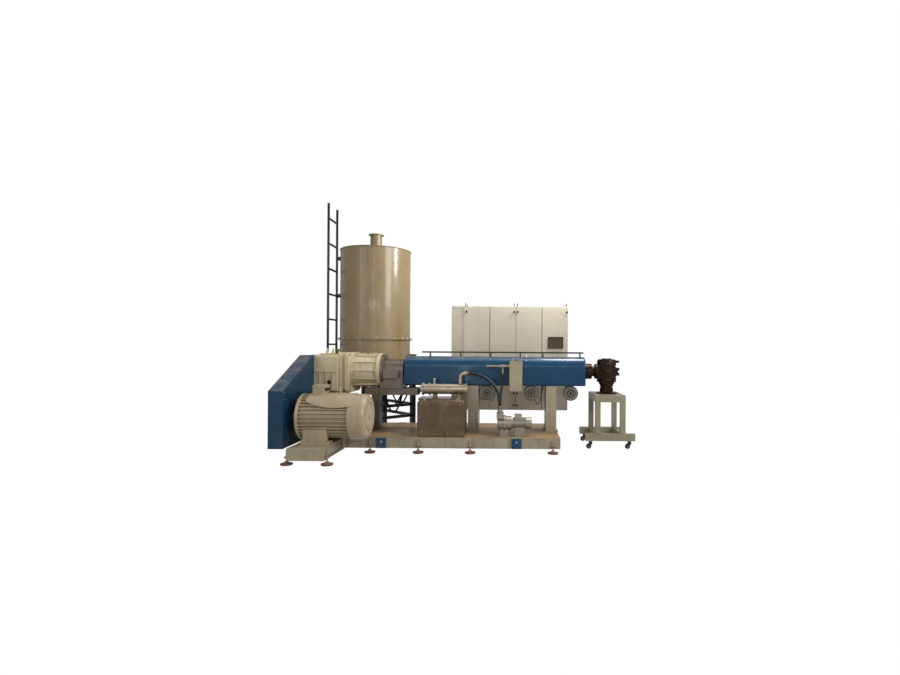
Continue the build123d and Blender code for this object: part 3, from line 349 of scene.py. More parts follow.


# tones from 0 to 255: dark, light, worn edge with a painted edge highlight and, in paint, stain; then what
# differs from the defaults
paints = {
    "siloPaint": ((106, 91, 64), (132, 115, 84), (150, 136, 108), (84, 70, 48),
        {"roughness": 0.36, "coat": 0.25, "streak": 0.22, "dust": 0.2, "grime": 0.1}),
    "basePaint": ((124, 115, 96), (154, 145, 123), (178, 168, 148), (88, 74, 54),
        {"roughness": 0.42, "streak": 0.35, "dust": 0.4, "grime": 0.45}),
    "deckPaint": ((118, 92, 57), (154, 124, 82), (176, 154, 118), (84, 62, 36),
        {"roughness": 0.5, "streak": 0.2, "dust": 0.3, "scale": 4.5}),
    "footPaint": ((84, 38, 28), (116, 56, 42), (150, 110, 92), (64, 30, 22),
        {"roughness": 0.5, "grime": 0.5, "grimeHeight": 0.12, "scale": 12.0}),
    "guardPaint": ((0, 38, 56), (2, 56, 80), (50, 80, 104), (4, 26, 44),
        {"roughness": 0.34, "coat": 0.1, "streak": 0.3, "dust": 0.25}),
    "coverPaint": ((0, 44, 66), (4, 64, 92), (60, 92, 118), (4, 26, 46),
        {"roughness": 0.28, "coat": 0.15, "streak": 0.2, "dust": 0.22}),
    "motorPaint": ((124, 110, 88), (166, 150, 122), (188, 176, 150), (84, 68, 46),
        {"roughness": 0.4, "streak": 0.25, "dust": 0.3, "grime": 0.3}),
    "gearboxPaint": ((154, 141, 114), (192, 178, 147), (202, 192, 164), (92, 76, 50),
        {"roughness": 0.4, "streak": 0.35, "dust": 0.35, "cast": True}),
    "darkPaint": ((5, 12, 20), (12, 22, 34), (48, 58, 70), (4, 7, 12),
        {"roughness": 0.42, "dust": 0.12, "grime": 0.3}),
    "cabinetPaint": ((150, 142, 126), (176, 168, 151), (204, 196, 182), (132, 120, 100),
        {"roughness": 0.36, "coat": 0.2, "streak": 0.12, "dust": 0.18, "grime": 0.08, "scale": 2.0}),
    "standPaint": ((112, 104, 86), (142, 134, 114), (170, 162, 144), (80, 68, 50),
        {"roughness": 0.42, "streak": 0.3, "dust": 0.3}),
    "boxPaint": ((126, 116, 96), (154, 144, 122), (182, 174, 156), (92, 80, 60),
        {"roughness": 0.36, "streak": 0.2}),
    "railPaint": ((20, 23, 28), (36, 41, 48), (92, 96, 102), (12, 13, 16), {"roughness": 0.4, "dust": 0.2}),
    "blowerPaint": ((118, 108, 98), (150, 141, 130), (178, 170, 160), (76, 66, 58), {"roughness": 0.38}),
    "pelletPaint": ((214, 210, 200), (236, 232, 224), (240, 238, 232), (170, 160, 142),
        {"roughness": 0.34}),
}
metals = {
    "coolerMetal": ((112, 100, 80), (196, 186, 164), (226, 220, 206),
        {"metallic": 0.75, "roughness": 0.28, "bump": 0.12}),
    "feedSteel": ((82, 76, 68), (136, 128, 116), (188, 182, 172), {"metallic": 0.85, "roughness": 0.42}),
    "tankSteel": ((92, 76, 58), (142, 124, 102), (236, 228, 214), {"roughness": 0.2, "stretch": (3, 3, 220),
        "lines": 0.35, "bump": 0.12}),
    "headSteel": ((30, 23, 18), (60, 48, 40), (118, 102, 84), {"metallic": 0.9, "roughness": 0.4,
        "wearAndHighlight": 0.6}),
    "barrelSteel": ((32, 26, 20), (68, 58, 46), (124, 108, 88), {"metallic": 0.9, "roughness": 0.36}),
    "pipeSteel": ((112, 106, 96), (178, 172, 160), (214, 206, 190), {"roughness": 0.32}),
    "pumpMetal": ((120, 112, 100), (178, 170, 158), (214, 206, 192),
        {"metallic": 0.8, "roughness": 0.4, "stretch": (90, 90, 90)}),
    "boltSteel": ((120, 114, 104), (184, 178, 168), (226, 222, 214),
        {"roughness": 0.3, "stretch": (60, 60, 60)}),
    "darkSteel": ((36, 34, 34), (66, 62, 60), (128, 124, 120), {"metallic": 0.7, "roughness": 0.45,
        "stretch": (60, 60, 60)}),
    "brass": ((92, 78, 52), (140, 122, 86), (168, 150, 114), {"roughness": 0.4, "stretch": (60, 60, 60)}),
    "zincPlate": ((120, 120, 120), (178, 178, 176), (220, 220, 218),
        {"roughness": 0.34, "stretch": (70, 70, 70)}),
}
rubbers = { "blackRubber": ((16, 16, 17), (34, 33, 33), {}), "blackPlastic": ((18, 18, 20), (34, 34, 36),
        {"roughness": 0.4, "scale": 30.0, "dust": 0.12}), }
materials = {}
for maker, table in ((makePaint, paints), (makeMetal, metals), (makeRubber, rubbers)):
    for name, (*tones, plan) in table.items():
        plan.update(zip(("dark", "light", "edge", "stain"), (tone(*shade) for shade in tones)))
        materials[name] = maker(name, plan)
print("made", len(materials), "materials")


def makeWindowGlass():
    # dark tinted pane: a faint cloud of dust over brown glass
    material, tree, shader, vector = startMaterial("windowGlass", coat=0.8, coatRoughness=0.05)
    skin = useGroup(tree, paintSkin, (-900, 300), vector)
    colour = blendColour(tree, (-600, 300), skin.outputs["Mottle"], tone(44, 34, 26), tone(74, 60, 46))
    joinSkin(tree, shader, colour, skin.outputs["Mottle"], 0.16, 0.1)
    return material


materials["windowGlass"] = makeWindowGlass()

slotFinish = {
    "base_paint": "basePaint", "deck_paint": "deckPaint", "foot_paint": "footPaint",
    "guard_paint": "guardPaint", "motor_paint": "motorPaint", "gearbox_paint": "gearboxPaint",
    "feed_steel": "feedSteel", "silo_paint": "siloPaint", "dark_paint": "darkPaint",
    "cover_paint": "coverPaint", "barrel_steel": "barrelSteel", "head_steel": "headSteel",
    "blower_paint": "blowerPaint", "pipe_steel": "pipeSteel", "tank_steel": "tankSteel",
    "cooler_paint": "coolerMetal", "pump_metal": "pumpMetal", "hose_rubber": "blackRubber",
    "cabinet_paint": "cabinetPaint", "stand_paint": "standPaint", "caster_steel": "darkSteel",
    "caster_rubber": "blackRubber", "box_paint": "boxPaint", "rail_paint": "railPaint",
}
for entry in frame["record"]["subparts"]:
    surface = nodes[entry["node"]].data
    surface.materials.clear()
    surface.materials.append(materials[slotFinish[entry["material_slot"]]])
print("finished the packed nodes")


# shapes are arrays of copies x rows x points round x 3
def finishPiece(name, vertices, faces, finish, body):
    mesh = bpy.data.meshes.new(name)
    mesh.from_pydata(vertices.tolist(), [], faces)
    work = bmesh.new()
    work.from_mesh(mesh)
    bmesh.ops.recalc_face_normals(work, faces=work.faces)
    work.to_mesh(mesh)
    work.free()
    mesh.polygons.foreach_set("use_smooth", np.ones(len(mesh.polygons), bool))
    mesh.set_sharp_from_angle(angle=radians(32))
    mesh.materials.append(materials[finish])
    piece = bpy.data.objects.new(name, mesh)
    bpy.context.scene.collection.objects.link(piece)
    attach(piece, body)
    return piece


def ringPiece(name, rings, slot, finish=None, body="machine", closed=False):
    # neighbouring rows are joined by quads; open rows are capped at both ends, closed ones meet
    rings = rings.reshape((-1,) + rings.shape[-3:])
    copies, rows, around = rings.shape[:3]
    index = np.arange(copies * rows * around).reshape(copies, rows, around)
    beside = np.roll(index, -1, axis=2)
    quads = np.stack((index, beside, np.roll(beside, -1, axis=1), np.roll(index, -1, axis=1)), axis=-1)
    faces = quads[:, :rows if closed else rows - 1].reshape(-1, 4).tolist()
    if not closed:
        faces += index[:, 0, ::-1].tolist() + index[:, -1].tolist()
    return finishPiece(name, rings.reshape(-1, 3), faces, finish or slotFinish[slot], body)


def crossAxes(axes):
    # two directions square to each axis
    axes = np.atleast_2d(np.asarray(axes, float))
    axes = axes / np.linalg.norm(axes, axis=1, keepdims=True)
    helper = np.where(np.abs(axes[:, 2:]) > 0.9, np.array([[1.0, 0, 0]]), np.array([[0, 0, 1.0]]))
    first = np.cross(helper, axes)
    first = first / np.linalg.norm(first, axis=1, keepdims=True)
    return axes, first, np.cross(axes, first)


def turned(profile, places, axes, sides=24, lobes=None):
    # point = place + axis * height + radius * lobe(angle) * (cos(angle) * first + sin(angle) * second)
    places = np.atleast_2d(np.asarray(places, float))
    axes, first, second = crossAxes(np.broadcast_to(np.asarray(axes, float), places.shape))
    radius, height = np.asarray(profile, float).T
    angle = np.arange(sides) * 2 * pi / sides
    reach = radius[:, None] * (np.ones((len(radius), sides)) if lobes is None else lobes(angle))
    across = (np.cos(angle)[:, None] * first[:, None, :] + np.sin(angle)[:, None] * second[:, None, :])
    rise = axes[:, None, None, :] * height[None, :, None, None]
    return places[:, None, None, :] + rise + reach[None, :, :, None] * across[:, None, :, :]


def hexagon(angle):
    # twelve points: corners at the full radius, the middle of each flat at cos(30 degrees) of it
    return np.where(np.arange(len(angle)) % 2 == 0, 1.0, np.cos(pi / 6))


def bolts(name, places, axes, size, slot, finish="boltSteel", body="machine"):
    # a washer, then a hexagon head with a chamfered top; size is half the width across the corners
    washer = turned(np.array([(1.3, 0), (1.3, 0.16), (1.22, 0.2)]) * size, places, axes, 12)
    head = turned(np.array([(1.0, 0.18), (1.0, 0.72)]) * size, places, axes, 12, hexagon)
    top = turned(np.array([(0.88, 0.8)]) * size, places, axes, 12)
    ringPiece(name, np.concatenate((washer, head, top), axis=1), slot, finish, body)


def screws(name, places, axes, size, slot, finish="zincPlate", body="machine"):
    # a domed screw head: quarter circle from the rim to the crown
    turn = np.linspace(0, pi / 2 * 0.9, 4)
    profile = np.stack((np.cos(turn), np.sin(turn) * 0.55), axis=1) * size
    ringPiece(name, turned(profile, places, axes, 12), slot, finish, body)


def circle(centre, axis, radius, count, start=0.0):
    # points evenly round an axis, and the directions that point away from it
    _, first, second = crossAxes(axis)
    angle = radians(start) + np.arange(count) * 2 * pi / count
    outward = np.cos(angle)[:, None] * first + np.sin(angle)[:, None] * second
    return np.asarray(centre, float) + radius * outward, outward


def tube(path, radius, around=10, closed=False, up=(0, 0, 1)):
    # point = path(s) + radius(s) * (cos(angle) * side + sin(angle) * lift), side and lift square to the path
    path = np.asarray(path, float)
    if closed:
        along = np.roll(path, -1, axis=0) - np.roll(path, 1, axis=0)
    else:
        along = np.gradient(path, axis=0)
    along /= np.linalg.norm(along, axis=1, keepdims=True)
    side = np.cross(along, up)
    side /= np.linalg.norm(side, axis=1, keepdims=True)
    lift = np.cross(side, along)
    angle = np.arange(around) * 2 * pi / around
    reach = np.broadcast_to(np.asarray(radius, float), (len(path),))[:, None, None]
    across = np.cos(angle)[None, :, None] * side[:, None] + np.sin(angle)[None, :, None] * lift[:, None]
    return (path[:, None] + reach * across)[None]


def hoop(centre, axis, radius, thickness, count=72, around=8):
    points, _ = circle(centre, axis, radius, count)
    return tube(points, thickness, around, closed=True, up=np.asarray(axis, float))


def roundedOutline(width, height, corner, count=32):
    # each quarter of the angles runs round its own corner: half size less corner, plus corner * (cos, sin)
    angle = (np.arange(count) + 0.5) * 2 * pi / count
    x = (width / 2 - corner) * np.sign(np.cos(angle)) + corner * np.cos(angle)
    y = (height / 2 - corner) * np.sign(np.sin(angle)) + corner * np.sin(angle)
    return np.stack((x, y), axis=1)


def plate(centres, right, outward, width, height, depth, corner, bevel=0.002, count=32):
    # a rounded rectangle pushed out along its normal, with its front edge bevelled
    centres = np.atleast_2d(np.asarray(centres, float))
    right = np.asarray(right, float)
    outward = np.asarray(outward, float)
    above = np.cross(outward, right)
    full = roundedOutline(width, height, corner, count)
    inner = roundedOutline(width - 2 * bevel, height - 2 * bevel, max(corner - bevel, 0.0005), count)
    outline = np.stack((full, full, inner))
    level = np.array([0, depth - bevel, depth])[:, None, None]
    flat = outline[..., :1] * right + outline[..., 1:] * above + level * outward
    return centres[:, None, None, :] + flat[None]


def weldBead(path, radius, up=(0, 0, 1), closed=False):
    # a bead that ripples as it was laid: radius * (1 + 0.18 * sin of the step along it)
    ripple = radius * (1 + 0.18 * np.sin(np.arange(len(path)) * 2.1))
    return tube(path, ripple, 6, closed, up)


def line(start, end, count):
    return np.linspace(np.asarray(start, float), np.asarray(end, float), count)


def gridOf(xs, ys, zs):
    # every combination of the given places
    return np.stack(np.meshgrid(xs, ys, zs, indexing="ij"), axis=-1).reshape(-1, 3)


# hoses: the same points as in the model, in metres
hoses = {
    "suctionHose": {"node": "suction_hose", "radius": 0.021, "length": 0.771,
                    "points": [(-0.0175, -0.5155, 1.050), (0.1365, -0.5155, 1.050), (0.3215, -0.5555, 0.945),
                               (0.4485, -0.6455, 0.770), (0.4485, -0.6455, 0.590)]},
    "ventHose": {"node": "vent_hose", "radius": 0.015, "length": 0.516,
                 "points": [(0.4765, -0.3455, 1.058), (0.4765, -0.3455, 0.905), (0.4485, -0.4955, 0.750),
                            (0.4485, -0.4955, 0.590)]},
}


def makeHose(name, plan):
    curve = bpy.data.curves.new(name, "CURVE")
    curve.dimensions = "3D"
    curve.bevel_depth = plan["radius"]
    curve.bevel_resolution = 8
    curve.resolution_u = 16
    spline = curve.splines.new("NURBS")
    spline.points.add(len(plan["points"]) - 1)
    spline.points.foreach_set("co", np.array([point + (1.0,) for point in plan["points"]]).ravel())
    spline.order_u = 3
    spline.use_endpoint_u = True
    curve.materials.append(materials["blackRubber"])
    hose = bpy.data.objects.new(name, curve)
    bpy.context.scene.collection.objects.link(hose)
    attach(hose, "machine")
    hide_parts(plan["node"])
    for end, towards, label in ((0, 1, "Top"), (-1, -2, "Bottom")):
        start = np.array(plan["points"][end])
        away = np.array(plan["points"][towards]) - start
        away /= np.linalg.norm(away)
        band = np.array([(1.0, 0), (1.14, 0.002), (1.14, 0.012), (1.0, 0.014)]) * (plan["radius"], 1)
        ringPiece(name + label + "Clamp", turned(band, start + 0.012 * away, away, 32), "pipe_steel",
                "zincPlate")
        sideways = crossAxes(away)[2][0]
        screwAxis = np.cross(away, sideways)
        place = start + 0.019 * away + 1.1 * plan["radius"] * sideways - 0.008 * screwAxis
        screws(name + label + "ClampScrew", [place], screwAxis, 0.0055, "pipe_steel")


for hoseName, hosePlan in hoses.items():
    makeHose(hoseName, hosePlan)
print("hoses and clamps made")

# silo: ring bolts, weld seams, roof lip, inlet flange, lug bolts
silo = {"ring": 0.030, "ringThickness": 0.012, "boltCount": 24, "boltInset": 0.014, "boltSize": 0.009,
        "seamAngles": (118, 238), "bead": 0.003, "lip": 0.007, "inletBolts": 8}


def dressSilo():
    radius = (upperHigh[0] - upperLow[0]) / 2 - silo["ring"]
    joint = upperLow[2]
    centre = np.array((siloX, siloY, joint))
    boltRadius = radius + silo["ring"] - silo["boltInset"]
    places, outward = circle(centre + (0, 0, silo["ringThickness"]), (0, 0, 1), boltRadius,
            silo["boltCount"])
    bolts("siloRingBolts", places, (0, 0, 1), silo["boltSize"], "silo_paint")
    bolts("siloRingNuts", places - (0, 0, 2 * silo["ringThickness"]), (0, 0, -1), silo["boltSize"],
            "silo_paint")
    for angle in silo["seamAngles"]:
        foot = centre + radius * np.array((np.cos(radians(angle)), np.sin(radians(angle)), 0))
        for label, low, high in (("Upper", joint + 0.02, upperHigh[2] - 0.01),
                ("Lower", siloLow[2], joint - 0.02)):
            path = line((foot[0], foot[1], low), (foot[0], foot[1], high), 160)
            ringPiece("siloSeam" + label + str(angle), weldBead(path, silo["bead"], up=(1, 0.3, 0)),
                    "silo_paint")
    roofLow, _ = span("silo_roof")
    ringPiece("siloRoofLip", hoop((siloX, siloY, roofLow[2] + 0.003), (0, 0, 1), radius + 0.004,
            silo["lip"], 128), "silo_paint", closed=True)
    ringPiece("siloRingBead", hoop((siloX, siloY, joint - 0.013), (0, 0, 1), radius + 0.001, 0.004, 128, 6),
            "silo_paint", closed=True)
    inletLow, inletHigh = span("inlet_tube")
    lipRadius = (inletHigh[0] - inletLow[0]) / 2
    places, outward = circle((siloX, siloY, inletHigh[2]), (0, 0, 1), lipRadius - 0.013, silo["inletBolts"])
    bolts("inletFlangeBolts", places, (0, 0, 1), 0.006, "silo_paint")
    places, outward = circle((siloX, siloY, inletLow[2] + 0.006), (0, 0, 1), lipRadius - 0.02,
            silo["inletBolts"])
    bolts("inletFootBolts", places, (0, 0, 1), 0.005, "silo_paint")
    legLow, legHigh = span("silo_legs")
    legRing = (legHigh[0] - legLow[0]) / 2 - 0.065
    lugs, outward = circle((siloX, siloY, legHigh[2] + 0.020), (0, 0, 1), legRing, 4)
    across = np.cross(outward, (0, 0, 1))
    bolts("siloLugBolts", np.concatenate((lugs + 0.03 * across, lugs - 0.03 * across)), (0, 0, 1), 0.010,
            "dark_paint")
    pads, outward = circle((siloX, siloY, 0.012), (0, 0, 1), legRing, 4)
    pads = pads[pads[:, 1] > legLow[1] + 0.2]
    bolts("siloPadBolts", np.concatenate((pads + (0.052, 0.052, 0), pads - (0.052, 0.052, 0))), (0, 0, 1),
            0.009, "dark_paint")
    _, coneHigh = span("silo_cone")
    ringPiece("siloConeSeam", weldBead(circle((siloX, siloY, coneHigh[2]), (0, 0, 1), radius, 220)[0],
            0.004, closed=True), "silo_paint", closed=True)


dressSilo()

# ladder: rung pins and clamp bolts
ladder = {"rungs": 9, "pin": 0.009, "clampHeights": (2.23, 2.83)}


def dressLadder():
    low, high = span("ladder_rungs")
    stileLow, _ = span("ladder_stiles")
    x = (low[0] + high[0]) / 2
    heights = np.linspace(low[2] + 0.013, high[2] - 0.013, ladder["rungs"])
    for label, y, side in (("Near", stileLow[1], -1), ("Far", high[1] + 0.014, 1)):
        screws("rungPins" + label, gridOf([x], [y], heights), (0, side, 0), ladder["pin"], "dark_paint",
                "darkPaint")
    places = gridOf([stileLow[0]], [high[1] + 0.007], ladder["clampHeights"])
    bolts("ladderClampBolts", places, (-1, 0, 0), 0.006, "dark_paint")


dressLadder()
print("silo and ladder dressed")

# gearbox: joint bolts, flange bolts, cover plate, breather, sight glass, lifting eyes, drain
gearbox = {"flangeHalf": 0.284, "flangeDrop": 0.030, "bolt": 0.013, "smallBolt": 0.009, "bearingBolts": 12}


def dressGearbox():
    low, high = span("gearbox_housing")
    bearingLow, bearingHigh = span("bearing_housing")
    boxRight = high[0] - 0.144
    reach = gearbox["flangeHalf"] - 0.035
    centreZ = screwZ - gearbox["flangeDrop"]
    along = np.array([-1, -0.5, 0, 0.5, 1]) * reach
    square = np.concatenate((gridOf([high[0]], [screwY - reach, screwY + reach], centreZ + along),
            gridOf([high[0]], screwY + along[[0, -1]], centreZ + along[[0, -1]])))
    bolts("gearFlangeBolts", square, (1, 0, 0), gearbox["bolt"], "gearbox_paint", "gearboxPaint")
    jointX = np.linspace(low[0] + 0.04, boxRight - 0.04, 5)
    for label, z, up in (("Top", screwZ + 0.018, 1), ("Under", screwZ - 0.018, -1)):
        places = gridOf(jointX, [screwY - 0.341, screwY + 0.341], [z])
        bolts("gearJointBolts" + label, places, (0, 0, up), gearbox["smallBolt"], "gearbox_paint",
                "gearboxPaint")
    coverX = np.linspace(low[0] + 0.05, boxRight - 0.06, 4)
    bolts("gearCoverBolts", gridOf(coverX, [screwY - 0.18, screwY + 0.18], [high[2] - 0.028]), (0, 0, 1),
            gearbox["smallBolt"], "gearbox_paint")
    midX = (low[0] + boxRight) / 2
    breather = [(0.012, 0), (0.012, 0.03), (0.026, 0.034), (0.03, 0.05), (0.022, 0.062), (0.008, 0.066)]
    ringPiece("gearBreather", turned(breather, [(midX + 0.06, screwY, high[2] - 0.028)], (0, 0, 1), 24),
            "pipe_steel", "brass")
    glass = np.array([(0.030, 0), (0.030, 0.010), (0.024, 0.013), (0.020, 0.008)])
    ringPiece("gearSightGlass", turned(glass, [(midX + 0.05, screwY - 0.33, screwZ - 0.16)], (0, -1, 0),
            24), "pipe_steel", "brass")
    ringPiece("gearSightPane", turned(glass[-1:] * (1, 1) + np.array([(0, -0.003), (0, 0.0)]),
            [(midX + 0.05, screwY - 0.33, screwZ - 0.16)], (0, -1, 0), 24), "pipe_steel", "windowGlass")
    bolts("gearDrainPlug", [(midX - 0.10, screwY - 0.33, low[2] + 0.05)], (0, -1, 0), 0.016,
            "gearbox_paint")
    eyes = [(low[0] + 0.110, screwY + y, high[2] + 0.018) for y in (-0.12, 0.12)]
    for number, eye in enumerate(eyes):
        ringPiece("gearLiftingEye" + str(number), hoop(eye, (1, 0, 0), 0.026, 0.007, 32, 10),
                "gearbox_paint", closed=True)
    radius = (bearingHigh[1] - bearingLow[1]) / 2
    places, _ = circle((bearingLow[0] + 0.034, screwY, screwZ), (1, 0, 0), radius - 0.009,
            gearbox["bearingBolts"], 15)
    bolts("bearingFlangeBolts", places, (1, 0, 0), 0.0085, "gearbox_paint")
    places, _ = circle((bearingHigh[0], screwY, screwZ), (1, 0, 0), radius - 0.026, 12)
    bolts("bearingEndBolts", places, (1, 0, 0), 0.011, "gearbox_paint")
    nipple = [(0.016, 0), (0.016, 0.012), (0.010, 0.014), (0.010, 0.036), (0.006, 0.038)]
    ringPiece("bearingGreaseNipple", turned(nipple, [(bearingLow[0] + 0.2, screwY, screwZ + 0.223)],
            (0, 0, 1), 12), "pipe_steel", "brass")


dressGearbox()

# drive motor: cowl screws, foot bolts, terminal box screws and gland, lifting eye, bearing caps
motor = {"cowlScrews": 10, "footBolt": 0.014, "eye": 0.028}


def dressMotor():
    low, high = span("motor_cowl")
    bodyLow, _ = span("motor_body")
    hoodLow, hoodHigh = span("motor_hood")
    centre = (low + high) / 2
    radius = (high[2] - low[2]) / 2
    places, outward = circle((low[0] + 0.018, centre[1], centre[2]), (1, 0, 0), radius, motor["cowlScrews"],
            18)
    screws("cowlScrews", places, outward, 0.007, "motor_paint")
    ringPiece("cowlBead", hoop((high[0] - 0.058, centre[1], centre[2]), (1, 0, 0), radius, 0.003, 96, 6),
            "motor_paint", closed=True)
    spokes = [(0.030, 0), (0.034, 0.003), (0.034, 0.008), (0.022, 0.011)]
    ringPiece("cowlCap", turned(spokes, [(high[0], centre[1], centre[2])], (1, 0, 0), 32), "motor_paint")
    deck = bodyLow[2]
    feet = gridOf([bodyLow[0] + 0.275, bodyLow[0] + 0.400], [centre[1] - 0.242, centre[1] + 0.242],
            [deck + 0.036])
    bolts("motorFootBolts", feet, (0, 0, 1), motor["footBolt"], "motor_paint")
    boxX = hoodLow[0] + 0.110
    lid = gridOf([boxX - 0.060, boxX + 0.060], [centre[1] - 0.075, centre[1] + 0.075], [hoodHigh[2]])
    screws("terminalBoxScrews", lid, (0, 0, 1), 0.007, "motor_paint")
    gland = [(0.021, 0), (0.021, 0.012), (0.017, 0.014), (0.017, 0.030), (0.010, 0.036)]
    glandPlaces = [(boxX + 0.075, centre[1] + y, hoodHigh[2] - 0.055) for y in (-0.04, 0.04)]
    ringPiece("terminalBoxGlands", turned(gland, glandPlaces, (1, 0, 0), 12, hexagon), "motor_paint",
            "blackPlastic")
    eye = (hoodLow[0] + 0.36, centre[1], centre[2] + 0.298)
    ringPiece("motorEyeRing", hoop((eye[0], eye[1], eye[2] + 0.040), (1, 0, 0), motor["eye"], 0.007, 40,
            10), "motor_paint", closed=True)
    shank = [(0.024, 0), (0.024, 0.005), (0.010, 0.009), (0.010, 0.014)]
    ringPiece("motorEyeShank", turned(shank, [eye], (0, 0, 1), 20), "motor_paint")
    hem = [(hoodLow[0] + 0.02, centre[1] - 0.16), (hoodLow[0] + 0.5, centre[1] - 0.16)]
    rise = np.sqrt(0.298 ** 2 - 0.16 ** 2)
    screws("hoodScrews", [(x, y, centre[2] + rise) for x, y in hem], (0, -0.54, 0.84), 0.006, "motor_paint")


dressMotor()
print("gearbox and motor dressed")


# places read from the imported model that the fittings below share
boxes = {node: span(node) for node in nodes}


def mid(node):
    low, high = boxes[node]
    return (low + high) / 2


def fittings(name, places, axis, profile, slot, finish=None, sides=24, lobes=None, body="machine"):
    # the profile is in millimetres, as pairs of radius and height
    ringPiece(name, turned(np.array(profile) / 1000, places, axis, sides, lobes), slot, finish, body)


def plates(name, places, right, outward, size, slot, finish=None, count=24, body="machine"):
    # size is width, height, depth and corner in millimetres
    width, height, depth, corner = np.array(size) / 1000
    bevel = min(0.002, depth * 0.4, corner * 0.6)
    ringPiece(name, plate(places, right, outward, width, height, depth, corner, bevel, count), slot, finish,
            body)


def coverRing(x, inset):
    # outline of the barrel cover in its own plane: flat sides, 150 mm round on top, 24 mm below
    half = 0.205 - inset
    angle = np.linspace(0, 2 * pi, 96, endpoint=False) + pi / 96
    corner = np.where(np.sin(angle) > 0, 0.150, 0.024) - inset
    y = (half - corner) * np.sign(np.cos(angle)) + corner * np.cos(angle)
    z = (half - corner) * np.sign(np.sin(angle)) + corner * np.sin(angle)
    return np.stack((np.full_like(y, x), screwY + y, screwZ + z), axis=1)


guardLow, guardHigh = boxes["belt_guard"]
frontSide = coverLow[1]
backSide = coverHigh[1]
splitX = (coverLow[0] + rearHigh[0]) / 2
blowerXs = np.array([0.2425, 0.8865, 1.4485])
blowerFace = boxes["blowers"][0][1] + 0.012
blowerZ = 0.759
ventLow, ventHigh = boxes["vent_box"]
tankLow, tankHigh = boxes["cooling_tank"]
coolerX, coolerY, coolerZ = -0.6205, -0.5155, 0.835
pumpY, pumpZ = -0.5705, 0.382
headX, headTop = 1.9865, 1.242
doorFace = boxes["cabinet_door_1"][0][1]
doorXs = np.array([mid("cabinet_door_" + str(number))[0] for number in range(1, 5)])
cabLow, cabHigh = boxes["cabinet_left"]
rightHigh = boxes["cabinet_right"][1]
standLow, standHigh = boxes["stand_top_frame"]
wheelPlaces = np.array([mid("caster_wheel_" + str(number)) for number in range(1, 5)])
railLow, _ = boxes["base_rails"]
deckHigh = boxes["deck_plate"][1]

# the guard's screws follow its outline; the slope falls from the top edge to the front
slope = line((guardLow[1] + 0.03, 0.846), (guardLow[1] + 0.92, 1.252), 6)
edgeYz = np.concatenate((slope, line((-0.36, 1.262), (0.225, 1.262), 4),
        line((0.228, 0.20), (0.228, 1.12), 5), line((guardLow[1] + 0.024, 0.20),
        (guardLow[1] + 0.024, 0.76), 4)))
clearOfDrive = edgeYz[(edgeYz[:, 0] < -0.50) & (edgeYz[:, 1] > 0.70)]


def onX(yz, x):
    return np.column_stack((np.full(len(yz), x), yz))


coverXs = np.concatenate((np.linspace(rearLow[0] + 0.06, splitX - 0.06, 9),
        np.linspace(splitX + 0.06, coverHigh[0] - 0.06, 5)))
frontXs = coverXs[(coverXs < ventLow[0] - 0.02) | (coverXs > ventHigh[0] + 0.02)]
standOffs = np.array([-0.5835, -0.1435, 0.2965, 0.7265, 1.0565, 1.5965])
footXs = np.array([-1.2735, -0.6335, 0.0565, 1.1565])
footPlaces = np.concatenate((gridOf(footXs, [-0.7455, 0.5945], [0]), [(-2.0635, 0.5945, 0)],
        gridOf([-1.5835, -2.0635], [-1.4655], [0])))
postXs = np.array([0.0565, 1.1685])

# places, axis, size, slot, finish and body
screwSets = {
    "guardScrewsRight": (onX(clearOfDrive, guardHigh[0]), (1, 0, 0), 0.007, "guard_paint"),
    "coverScrewsFront": (gridOf(frontXs, [frontSide], [0.888]), (0, -1, 0), 0.0055, "cover_paint",
        "darkSteel"),
    "coverScrewsBack": (gridOf(coverXs, [backSide], [0.888]), (0, 1, 0), 0.0055, "cover_paint",
        "darkSteel"),
    "coverTopScrew": ([(0.812, -0.2385, 1.2285)], (0, -0.72, 0.69), 0.007, "cover_paint", "pelletPaint"),
    "ventBoxScrews": (gridOf(mid("vent_box")[0] + np.array([-0.072, 0.072]), [ventLow[1]],
        np.linspace(0.83, 1.186, 4)), (0, -1, 0), 0.005, "box_paint"),
    "blowerScrews": (np.concatenate([circle((x, blowerFace, blowerZ), (0, -1, 0), 0.096, 8,
        22)[0] for x in blowerXs]), (0, -1, 0), 0.004, "blower_paint"),
    "tankHemScrews": (gridOf(np.linspace(tankLow[0] + 0.05, tankHigh[0] - 0.05, 7), [tankLow[1]],
        [0.246, 0.652]), (0, -1, 0), 0.0045, "tank_steel"),
    "pumpMotorScrews": (circle((0.8765, pumpY, pumpZ), (1, 0, 0), 0.050, 6)[0], (1, 0, 0), 0.004,
        "pump_metal"),
    "cabinetBackScrews": (gridOf(np.linspace(cabLow[0] + 0.05, rightHigh[0] - 0.05, 9), [cabHigh[1]],
        np.linspace(0.47, 2.0, 6)), (0, 1, 0), 0.006, "cabinet_paint"),
    "bayScrews": (gridOf([-0.345, -0.172], [boxes["cabinet_bay"][0][1]], np.linspace(0.46, 2.02, 7)),
        (0, -1, 0), 0.005, "cabinet_paint"),
    "deckScrews": (gridOf(np.linspace(-1.98, 1.18, 14), [deckHigh[1] - 0.02, -0.7055], [deckHigh[2]]),
        (0, 0, 1), 0.007, "deck_paint", "darkSteel"),
    "windowScrews": (gridOf([1.299 - 0.125, 1.299 + 0.125], [doorFace], 1.49 + np.array([-0.095, 0.095])),
        (0, -1, 0), 0.004, "cabinet_paint", "zincPlate", "door_4"),
}
